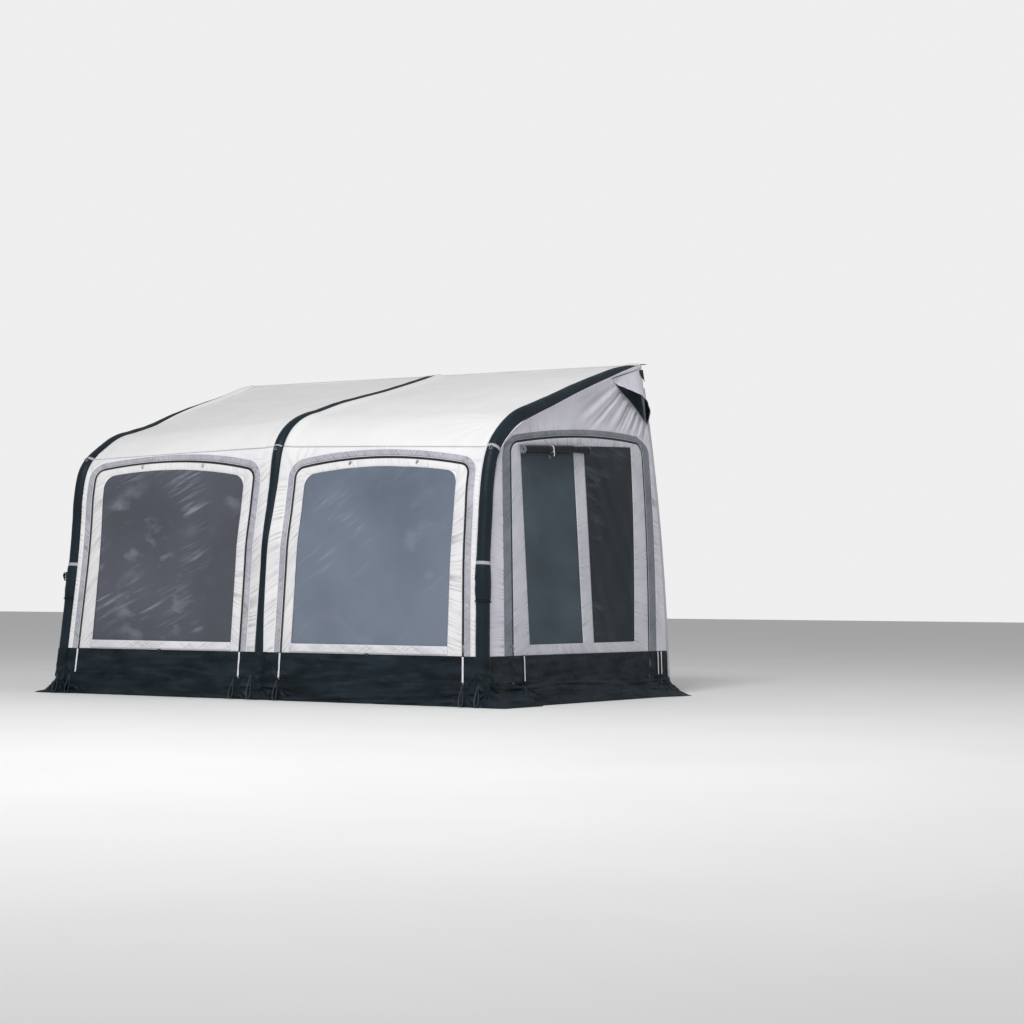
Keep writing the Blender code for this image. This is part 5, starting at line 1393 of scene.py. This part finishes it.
def makeVent(label, side):
    upperFront, lowerFront, lowerRear, upperRear = ventCorners(side)
    t = np.linspace(0, 1, 70)[:, None, None]
    r = np.linspace(0, 1, 26)[None, :, None]
    grid = mix(mix(upperFront, upperRear, t), mix(lowerFront, lowerRear, t), r)
    net = makePiece("ventMesh_" + label, [patch(onSide(side, grid[..., 0], grid[..., 1], -0.022),
        grid[..., 0], grid[..., 1])], finishes["flyMesh"], "shell", ["vent_mesh_" + label],
        (side, -0.1, 0.05), 0.0008)
    t = np.linspace(0, 1, vent["columns"])[None]
    share = np.linspace(0, 1, vent["rows"])[:, None]
    belly, lift = np.sin(pi * t**1.6), np.sin(pi * t**1.35)
    inset = mix(vent["drop"], -vent["drop"], t)
    topY, topZ = mix(upperFront[0], upperRear[0], t) + inset, mix(upperFront[1], upperRear[1], t) - 0.002
    lowY, lowZ = (mix(lowerFront[0], lowerRear[0], t) + inset,
        mix(lowerFront[1], lowerRear[1], t) + vent["raise"] * lift)
    y, z = mix(topY, lowY, share), mix(topZ, lowZ, share)
    sewn = wallEdge(lengthAtDepth(topY), side)[..., 2] + 0.0012
    out = (sewn * (1 - share) ** 1.5 + 0.0012 + lowerFront[2] * share * (1 - t) ** 4
        + vent["reach"] * belly * share**1.2)
    folds = (np.sin(2 * pi * (3.1 * t + 0.4 * share) + 0.8) * 0.5
        + 0.35 * np.sin(2 * pi * (6.7 * t - 0.3 * share)))
    out = (out + 0.007 * folds * share * smooth(belly / 0.3)
        + 0.0016 * humps(t * 0.6, 0.03, 650 + side) * np.exp(-share * 12) * smooth(share / 0.05))
    out = out + 0.003 * np.exp(-((share - 0.965) / 0.02) ** 2)
    length = np.hypot(y - topY, z - topZ)
    hood = makePiece("ventHood_" + label, [patch(onSide(side, y, z, out), t * 0.6, length,
        np.minimum(length, 0.35 * (1 - share)))], finishes["sideCloth"], "shell", ["vent_hood_" + label],
        (side, -0.1, 0.3), 0.0012)
    rows = slice(int(0.12 * vent["rows"]), int(0.97 * vent["rows"]))  # a dark sheet under the hood: painted shade of its underside
    underShade = makePiece("hoodUnderShade_" + label, [patch(onSide(side, y, z, out - 0.0034)[rows],
        (t * 0.6 + 0 * length)[rows], length[rows], 0.05)], finishes["darkCloth"], "shell", (),
        (side, -0.1, 0.3), 0.0008)
    t = np.linspace(0.86, 0.985, 20)[:, None, None]  # dark patch that strengthens the rear corner
    r = np.linspace(0.03, 0.24, 8)[None, :, None]
    grid = mix(mix(upperFront, upperRear, t), mix(lowerFront, lowerRear, t),
        r * (0.4 + 0.6 * (t - 0.86) / 0.125))
    makePiece("cornerPatch_" + label, [patch(onSide(side, grid[..., 0], grid[..., 1],
        0.030 + 0.02 * (1 - t[..., 0])), grid[..., 0], grid[..., 1], 0.01)], finishes["darkCloth"], "shell",
        (), (side, -0.1, 0.3), 0.0012)


# The dark skirt on the ground

skirt = {
    "frontSpread": 0.02,
    "sideSpread": 0.20,
    "foldDepth": 0.007,
    "foldPitch": 0.31,
    "tip": 0.08,
    "rows": 44,
    "uprightRows": 22,
    "frontColumns": (26, 300, 26),
    "sideColumns": (26, 320, 26),
    "gatherDepth": 0.016,
    "sideGathers": [-2.44, -2.02, -0.15],
}


def skirtSection(h, spreadOut):  # distance out and height: the foot curves out from the wall onto the ground
    q = np.clip((shell["zipFoot"] - h) / (shell["zipFoot"] + spreadOut), 0, 1)
    return spreadOut * q**1.45, np.where(h >= shell["zipFoot"], h, shell["zipFoot"] * (1 - q) ** 1.4), q


def columnsBetween(marks, counts):  # columns that pass through four marks at each level
    parts = [np.linspace(0, 1, n, endpoint=False) for n in counts[:-1]] + [np.linspace(0, 1, counts[-1] + 1)]
    lines = [mix(marks[k], marks[k + 1], parts[k][None]) for k in range(3)]
    return np.concatenate(lines, 1)


def gather(a, h, spot, seed):
    # folds that run together at a peg loop: an angle's wave round the spot, with a dent at the spot itself
    far = np.hypot(a - spot, h - 0.10)
    angle = np.arctan2(h - 0.10, a - spot)
    wave = (np.sin(angle * 9 + 1.6 * np.sin(angle * 3 + seed)) * smooth(far / 0.05)
        * np.exp(-(far / 0.17) ** 2))
    return wave - 1.1 * np.exp(-(far / 0.035) ** 2)


def skirtPatches(point, marks, counts, hem):
    h = np.linspace(shell["zipFoot"], hem, skirt["rows"])[:, None]
    band = columnsBetween(marks(h), counts)
    up = np.linspace(shell["zipFoot"], shell["darkHeight"] - 0.0003, skirt["uprightRows"])[:, None]
    tall = columnsBetween(marks(up), counts)
    first, last = tall[:, : counts[0] + 1], tall[:, counts[0] + counts[1] :]
    made = []
    for a, level in ((band, h), (first, up), (last, up)):
        level = level + 0 * a
        seam = np.minimum(np.abs(level - hem), np.abs(shell["darkHeight"] - level))
        # the dark cloth gets painted highlights along level folds
        made.append(patch(point(a, level), a, level, seam, 0.55 * paintedFoldHighlights(a, level, 7)))
    return made


def frontSkirtPoint(side, x, h):
    out, z, q = skirtSection(h, skirt["frontSpread"])
    base = -shell["footDepth"] + z * np.tan(shell["legLean"])
    band = smooth((shell["zipFoot"] - h) / 0.03)
    wave = skirt["foldDepth"] * np.sin(2 * pi * x / skirt["foldPitch"]) * np.sin(pi * q) / 2
    folds = (0.0085 * swell(x * 0.3, h * 1.9, 0.12, 700 + side) * band
        + 0.0035 * swell(x, h, 0.13, 701 + side) * band)
    pegs = [0.02, front["zipInner"] + 0.01, shell["footHalfWidth"] - front["zipOuter"],
        shell["footHalfWidth"]]
    pinch = sum(gather(x, h, peg, k) for k, peg in enumerate(pegs)) * skirt["gatherDepth"] * 0.6
    upright = (0.0026 * humps(x + 0.6 * h, 0.045, 702 + side) * (1 - band)
        * smooth((shell["darkHeight"] - h) / 0.01))
    pinch = pinch * np.where(h > shell["zipFoot"], smooth((shell["darkHeight"] - h) / 0.12), 1.0)
    flare = 0.045 * smooth((x - 1.72) / 0.22) * q**2
    away = out + wave + folds + pinch * smooth(z / 0.02) + upright + flare
    return np.stack([side * x, base - np.maximum(away, 0.0), np.maximum(z, 0.0006)], -1)


def frontSkirtMarks(h):
    s = np.maximum(h, 0.0)
    corner = 0.060 * smooth((shell["zipFoot"] - h) / 0.17) ** 2
    return [slotHalf(s) + 0 * h, zipInner(s) - 0.0065, zipOuter(s) + 0.0065, beamX(s) - 0.0455 + corner]


def sideSkirtPoint(side, y, h):
    out, z, q = skirtSection(h, skirt["sideSpread"])
    band = smooth((shell["zipFoot"] - h) / 0.03)
    wave = skirt["foldDepth"] * np.sin(2 * pi * y / skirt["foldPitch"]) * np.sin(pi * q)
    folds = (0.009 * swell(y * 0.3, h * 1.9, 0.12, 710 + side) * band
        + 0.0045 * swell(y, h, 0.14, 711 + side) * band)
    pinch = (sum(gather(y, h, peg, k) for k, peg in enumerate(skirt["sideGathers"])) * skirt["gatherDepth"]
        * 0.75)
    pinch = pinch * np.where(h > shell["zipFoot"], smooth((shell["darkHeight"] - h) / 0.12), 1.0)
    upright = (0.0024 * humps(y + 0.5 * h, 0.045, 712 + side) * (1 - band)
        * smooth((shell["darkHeight"] - h) / 0.01))
    draw = 1 - 0.28 * smooth((y + 2.10) / 0.12) * smooth((-y - 0.10) / 0.30)  # drawn in along the door
    lift = (0.007 * np.maximum(0.0, swell(y, h * 0.5, 0.22, 715 + side)) * smooth((q - 0.75) / 0.15)
        * smooth((1.0 - q) / 0.02 + 0.2))
    away = (out + wave) * draw + (folds + pinch) * smooth(z / 0.02) + upright
    return onSide(side, y, np.maximum(z, 0.0006) + lift, np.maximum(away, -0.002))


def sideSkirtMarks(h):
    z, q = skirtSection(h, skirt["sideSpread"])[1:]
    s = np.maximum(h, 0.0)
    tip = skirt["tip"] * q**0.8 * (1 + 0.25 * q)
    return [beamEdgeY(z) - tip, doorFront(s) - 0.007, doorRear(s) + 0.007, 0.0 * h]


def makeSkirts(label, side):
    patches = skirtPatches(lambda x, h: frontSkirtPoint(side, x, h), frontSkirtMarks, skirt["frontColumns"],
        -skirt["frontSpread"])
    made = makePiece("frontSkirt_" + label, patches, finishes["darkCloth"], "shell",
        ["front_skirt_" + label], (0, -1, 0.2), shell["clothThickness"])
    patches = skirtPatches(lambda y, h: sideSkirtPoint(side, y, h), sideSkirtMarks, skirt["sideColumns"],
        -skirt["sideSpread"])
    made = makePiece("sideSkirt_" + label, patches, finishes["darkCloth"], "shell", ["side_skirt_" + label],
        (side, -0.1, 0.05), shell["clothThickness"])


def makeFootWrap(label, side):
    # the skirt's cloth carried round a beam's foot: lines from one skirt's edge to the next, whose angle
    # and radius round the beam pass from the first edge's to the second's, with ribs above and folds
    # that run out to the tips
    up = np.linspace(shell["darkHeight"] - 0.0003, shell["zipFoot"], 20, endpoint=False)
    q = np.linspace(0, 1, 30)
    low, wide = (np.concatenate([up, shell["zipFoot"] - q * (shell["zipFoot"] + skirt[key])])[:, None]
        for key in ("frontSpread", "sideSpread"))
    share = np.concatenate([0 * up, q])[:, None]
    if side:
        a, b = (frontSkirtPoint(side, frontSkirtMarks(low)[3], low)[:, 0],
            sideSkirtPoint(side, sideSkirtMarks(wide)[0], wide)[:, 0])
    else:
        a, b = (frontSkirtPoint(-1, frontSkirtMarks(low)[0], low)[:, 0],
            frontSkirtPoint(1, frontSkirtMarks(low)[0], low)[:, 0])
    t = np.linspace(0, 1, 90)[None]
    z = mix(a[:, 2:], b[:, 2:], t)
    s = (z + shell["beamSink"] * np.sin(shell["legLean"])) / np.cos(shell["legLean"])
    axisX, axisY = side * beamX(s), profile(s, -shell["beamSink"])[0]
    turnOf, radiusOf = [], []
    for edge, k in ((a, 0), (b, -1)):
        dx, dy = (edge[:, 0] - axisX[:, k]) * (side or 1), axisY[:, k] - edge[:, 1]
        turnOf.append(np.arctan2(dx, dy)[:, None])
        radiusOf.append(np.hypot(dx, dy)[:, None])
    angle = mix(turnOf[0], turnOf[1], t)
    base = cover["radius"] + 0.0045 + 0.010 * share**2
    radius = base + (radiusOf[0] - base) * (1 - t) ** 2.2 + (radiusOf[1] - base) * t**2.2
    held = smooth(np.minimum(t, 1 - t) / 0.06)
    high = smooth((z - 0.10) / 0.08) * smooth((shell["darkHeight"] - z) / 0.012)
    ribs = 0.0040 * humps(angle * 0.055 + 0.10 * z, 0.017, 770 + side) * high
    crumple = (0.0045 * swell(angle * 0.055, z * 1.2, 0.055, 771 + side)
        + 0.0030 * swell(angle * 0.02, z, 0.05, 772 + side))
    far = np.hypot((t - 0.80) * 0.16, z - 0.10)
    star = (0.0080 * np.sin(np.arctan2(z - 0.10, (t - 0.80) * 0.16) * 9 + side)
        * np.exp(-((far - 0.05) / 0.05) ** 2))
    radius = (radius + (ribs + crumple * smooth((0.30 - z) / 0.1) + star * (1.0 if side else 0.5)) * held
        * smooth(z / 0.02))
    x, y = axisX + radius * np.sin(angle) * (side or 1), axisY - radius * np.cos(angle)
    points = np.stack([x, y, np.maximum(z, 0.0006)], -1)
    made = makePiece("footWrap_" + label, [patch(points, angle * 0.055, z,
        np.minimum(t, 1 - t) * 0.2 + 0.001)], finishes["darkCloth"], "shell", (), (side, -1, 0),
        shell["clothThickness"])


# Pads, keder, pockets and trim

trim = {
    "padWidth": 0.070,
    "padDepth": 0.050,
    "padTop": 2.46,
    "kederWidth": 0.035,
    "kederOverhang": 0.050,
    "bandWidth": 0.024,
    "pocketTop": 0.992,
    "pocketLength": 0.25,
    "pocketThickness": 0.006,
    "loopWidth": 0.022,
    "loopReach": 0.024,
    "sideLoops": {"Front": -2.03, "Rear": -0.16},
    "tapeWidth": 0.014,
    "bracePlace": 2.75,
}


def makeRearPad(label, side):  # a soft-cornered section carried up the wall's rear edge
    rows = 150
    z = np.linspace(0.002, trim["padTop"], rows)[:, None]
    angle = np.linspace(0, 2 * pi, 37)[None]
    c, s = np.cos(angle), np.sin(angle)
    power = 0.36
    wide = trim["padWidth"] / 2 * np.sign(c) * np.abs(c) ** power
    deep = trim["padDepth"] / 2 * np.sign(s) * np.abs(s) ** power
    tight = 1 - 0.035 * humps(z + 0.1 * deep, 0.11, 720 + side)
    x = sideX(0.0, z) - trim["padWidth"] / 2 + wide * tight
    y = 0.0005 + trim["padDepth"] / 2 + deep * tight + 0 * z
    points = np.stack([side * x, y, z + 0 * x], -1)
    middle = np.stack([side * (sideX(0.0, z) - trim["padWidth"] / 2), 0.0255 + 0 * z, z], -1)
    points = np.concatenate([middle[:1] + 0 * points[:1], points, middle[-1:] + 0 * points[:1]])
    seam = np.abs(np.abs(deep) - trim["padDepth"] / 2) + 0.004 + 0 * z
    made = makePiece("rearPad_" + label, [patch(points, 0.05 * angle, np.concatenate([z[:1], z, z[-1:]]),
        np.concatenate([seam[:1], seam, seam[-1:]]))], finishes["padCover"], "shell", ["rear_pad_" + label])


def makeBraces():  # rods under the roof that hold the beams apart
    for label, side in sides.items():
        s = trim["bracePlace"]
        x = np.linspace(cover["radius"] + 0.0005, float(beamX(s, side)) - cover["radius"] - 0.0005, 40)
        path = onFront(side, x, s + 0 * x, -shell["beamSink"])
        makePiece("bracePole_" + label, [tube(path, 0.0095, 20)], finishes["rodGlass"], "shell",
            ["brace_pole_" + label])


def makeKeder():
    reachOut = float(sideX(*profile(total))) + trim["kederOverhang"]
    x = np.linspace(-reachOut, reachOut, 420)[None]
    s = np.linspace(total + 0.0005, total + trim["kederWidth"] - 0.001, 7)[:, None]
    level = 0.0006 * humps(x, 0.05, 730) * np.sin(pi * (s - total) / trim["kederWidth"])
    made = makePiece("kederStrip", [patch(onFront(1, x, s, level), x, s,
        np.minimum(s - total, trim["kederWidth"] - s + total) + 0 * x)], finishes["pouchCloth"], "shell",
        ["keder_strip"], (0, -1, 1), 0.0016)
    y, z = profile(total + trim["kederWidth"] + 0.0044, -0.002)
    line = np.linspace(-reachOut, reachOut, 120)
    path = np.stack([line, y + 0 * line, z + 0 * line], -1)
    makePiece("kederBead", [tube(path, 0.004, 14)], finishes["palePlastic"], "shell", ["keder_bead"])
    for label, side in sides.items():  # dark patches where the keder's ends rub
        x = np.linspace(reachOut - 0.085, reachOut - 0.004, 14)[None]
        s = np.linspace(total - 0.004, total + trim["kederWidth"] - 0.004, 7)[:, None]
        makePiece("railPatch_" + label, [patch(onFront(side, x, s, 0.0014), x, s,
            np.minimum(s - total + 0.004, reachOut - 0.004 - x))], finishes["darkCloth"], "shell", (),
            (0, -1, 1), 0.001)


def bandRound(side, s0, width, low, high, rise=0.0016):
    angle = np.radians(np.linspace(low, high, 60))[None]
    s = s0 + np.linspace(-0.5, 0.5, 7)[:, None] * width
    return patch(aroundBeam(side, s, cover["radius"] + rise, angle), angle * 0.05, s,
        width / 2 - np.abs(s - s0) + 0 * angle)


def ring(middle, out, up, radius, wire):
    angle = np.linspace(0, 2 * pi, 29)
    path = middle + out * (np.cos(angle) * radius)[:, None] + up * (np.sin(angle) * radius)[:, None]
    return tube(path, wire, 8, ends=False)


def makeBands():
    for label, side in beams.items():
        s0 = float(seamLength(0.0 if side == 0 else 1.75, side)) - 0.004
        low, high = (-48, 48) if side == 0 else (-66, 150)
        heights = ({"shoulderBand": s0} if side == 0 else {"shoulderBand": s0,
            "legBand": float(lengthAt(1.005)), "lowerBand": float(lengthAt(0.736))})
        for name, at in heights.items():
            dark = name == "lowerBand"
            width = 0.010 if dark else trim["bandWidth"] if side else 0.010
            rise = 0.0024 if name != "lowerBand" else 0.0085
            made = bandRound(side, at, width, low, high, rise)
            makePiece(f"{name}_{label}", [made], finishes["blackWebbing" if dark else "paleWebbing"],
                "shell", (), (side, -1, 0), 0.0012)
        middle = aroundBeam(side, s0 - 0.030, cover["radius"] + 0.006, np.radians(12.0 * side))
        out = np.array([1.0, 0.0, 0.0])
        y, z = profile(s0 + 0.01)
        y2, z2 = profile(s0 - 0.05)
        up = np.array([0.0, float(y - y2), float(z - z2)])
        up /= np.linalg.norm(up)
        tab = np.stack([middle + up * 0.024, middle + up * 0.010])
        makePiece("shoulderRing_" + label, [ring(middle, out, up, 0.0105, 0.0018)], finishes["steel"],
            "shell")
        makePiece("ringTab_" + label, [ribbon(spread(tab, 6, True), out, 0.014)], finishes["blackWebbing"],
            "shell", (), (0, -1, 0), 0.0012)


def makePocket(label, side):  # the guy lines' pocket: a sleeve that bulges and is gathered by its bands
    top = float(lengthAt(trim["pocketTop"]))
    t = np.linspace(0, 1, 60)[:, None]
    angle = np.radians(np.linspace(-62.0, 146.0, 90))[None]
    s = top - trim["pocketLength"] * (1 - t)
    full = np.sin(pi * t) ** 0.5
    radius = (cover["radius"] + 0.0022 + trim["pocketThickness"] * (0.25 + 0.75 * full)
        * smooth((angle + 1.08) / 0.2) * smooth((2.55 - angle) / 0.2))
    pleats = humps(angle * 0.05 + 0.05 * t, 0.017, 740 + side) * (np.exp(-t * 5) + np.exp(-(1 - t) * 5))
    radius = (radius - 0.0034 * pleats * smooth((angle + 1.08) / 0.2)
        + 0.0016 * swell(s, angle * 0.05, 0.07, 741 + side) * full)
    made = makePiece("guyPocket_" + label, [patch(aroundBeam(side, s, radius, angle), angle * 0.05, s,
        np.minimum(t, 1 - t) * 0.27)], finishes["coverCloth"], "shell", ["guy_pocket_" + label],
        (side, -1, 0), 0.0014)


def pegLoop(name, top, foot, across, body="shell"):  # a strap hung in a drop-shaped loop, wider at its foot
    top, foot = np.array(top, float), np.array(foot, float)
    t = np.linspace(0, 2 * pi, 60)[:, None]
    middle, axis = (top + foot) / 2, (top - foot) / 2
    wide = np.cross(axis, across)
    wide = wide / np.linalg.norm(wide) * trim["loopReach"]
    path = middle + axis * np.cos(t) + wide * np.sin(t) * (0.55 - 0.45 * np.cos(t))
    path[:, 2] = np.maximum(path[:, 2], 0.0016)
    makePiece(name, [ribbon(path, across, trim["loopWidth"])], finishes["loopWebbing"], body, (), None,
        0.0016)


def makeLoops():
    for label, side in sides.items():
        front_ = -shell["footDepth"] - 0.024
        places = {"Corner": side * (shell["footHalfWidth"] - 0.03),
            "Outer": side * (float(zipOuter(0.0)) + 0.01), "Inner": side * (front["zipInner"] + 0.01)}
        for name, x in places.items():
            pegLoop(f"pegLoop{name}_{label}", (x, front_ - 0.006, 0.150),
                (x + side * 0.006, front_ - 0.048, 0.006), (0.75, -0.62, 0.1))
        for name, y in trim["sideLoops"].items():
            x = side * (float(sideX(y, 0.07)) + 0.045)
            pegLoop(f"pegLoopSide{name}_{label}", (x - side * 0.025, y, 0.135),
                (x + side * 0.055, y - 0.02, 0.006), (-0.62 * side, 0.72, 0.1))
        s = np.linspace(zipFootS + 0.010, darkS - 0.004, 24)
        for name, line in {"Inner": zipInner, "Outer": zipOuter}.items():
            wave = 0.0022 * humps(s, 0.05, 750 + side) + 0.0052
            path = onFront(side, line(s) - 0.001, s, wave)
            makePiece(f"zipFoot{name}_{label}", [ribbon(path, (1.0, 0.0, 0.0), trim["tapeWidth"])],
                finishes["whiteTape"], "shell", (), (0, -1, 0), 0.0012)
        h = np.linspace(shell["zipFoot"] + 0.012, shell["darkHeight"] - 0.004, 24)
        lines = {"Front": (doorFront, 0.125), "Rear": (doorRear, 0.115), "RearSecond": (doorRear, 0.165)}
        for name, (line, shift) in lines.items():
            path = onSide(side, line(h) + shift + 0.03 * (0.35 - h), h,
                0.0094 + 0.0022 * humps(h, 0.05, 760 + side))
            makePiece(f"zipFootSide{name}_{label}", [ribbon(path, (0.0, 1.0, 0.0), trim["tapeWidth"])],
                finishes["whiteTape"], "door_" + label if name == "Front" else "shell", (), (side, 0, 0),
                0.0012)
        s0 = float(lengthAt(0.945))
        middle = aroundBeam(side, s0, cover["radius"] + 0.020, np.radians(64.0))
        t = np.linspace(0, 2 * pi, 50)[:, None]
        path = (middle + np.array([side * 0.012, -0.012, 0.0]) * np.sin(t)
            + np.array([0.0, 0.004, 0.034]) * np.cos(t) - np.array([0, 0, 0.035]))
        path = path + np.array([side * 0.006, 0.0, 0.0]) * np.sin(2 * t)
        if side < 0:
            makePiece("strapLoop_" + label, [ribbon(middle + (path - middle) * k, (0.5 * side, 0.85, 0.1),
                0.024) for k in (1.0, 0.72, 0.45)], finishes["blackWebbing"], "shell", (), None, 0.0045)


def makeCentreLoop():
    y = -shell["footDepth"] - 0.050
    pegLoop("pegLoopCentre", (-0.018, y - 0.008, 0.185), (-0.030, y - 0.030, 0.006), (0.75, -0.62, 0.1))


for label, side in sides.items():
    makeSideWall(label, side)
    makeDoorZip(label, side)
    makeDoor(label, side)
    makeVent(label, side)
    makeSkirts(label, side)
    makeRearPad(label, side)
    makePocket(label, side)
for label, side in beams.items():
    makeFootWrap(label, side)
makeKeder()
makeBraces()
makeBands()
makeLoops()
makeCentreLoop()
print("sides, skirts and trim ready")

carried = {  # hard pieces kept from the solid model, with their finishes
    "inflation_valve_": "greyPlastic",
    "valve_cap_": "blackPlastic",
    "front_slider_": "steel",
    "door_slider_": "steel",
}
for name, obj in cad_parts.items():
    for start, finish in carried.items():
        if name.startswith(start):
            obj.data.materials.clear()
            obj.data.materials.append(finishes[finish])
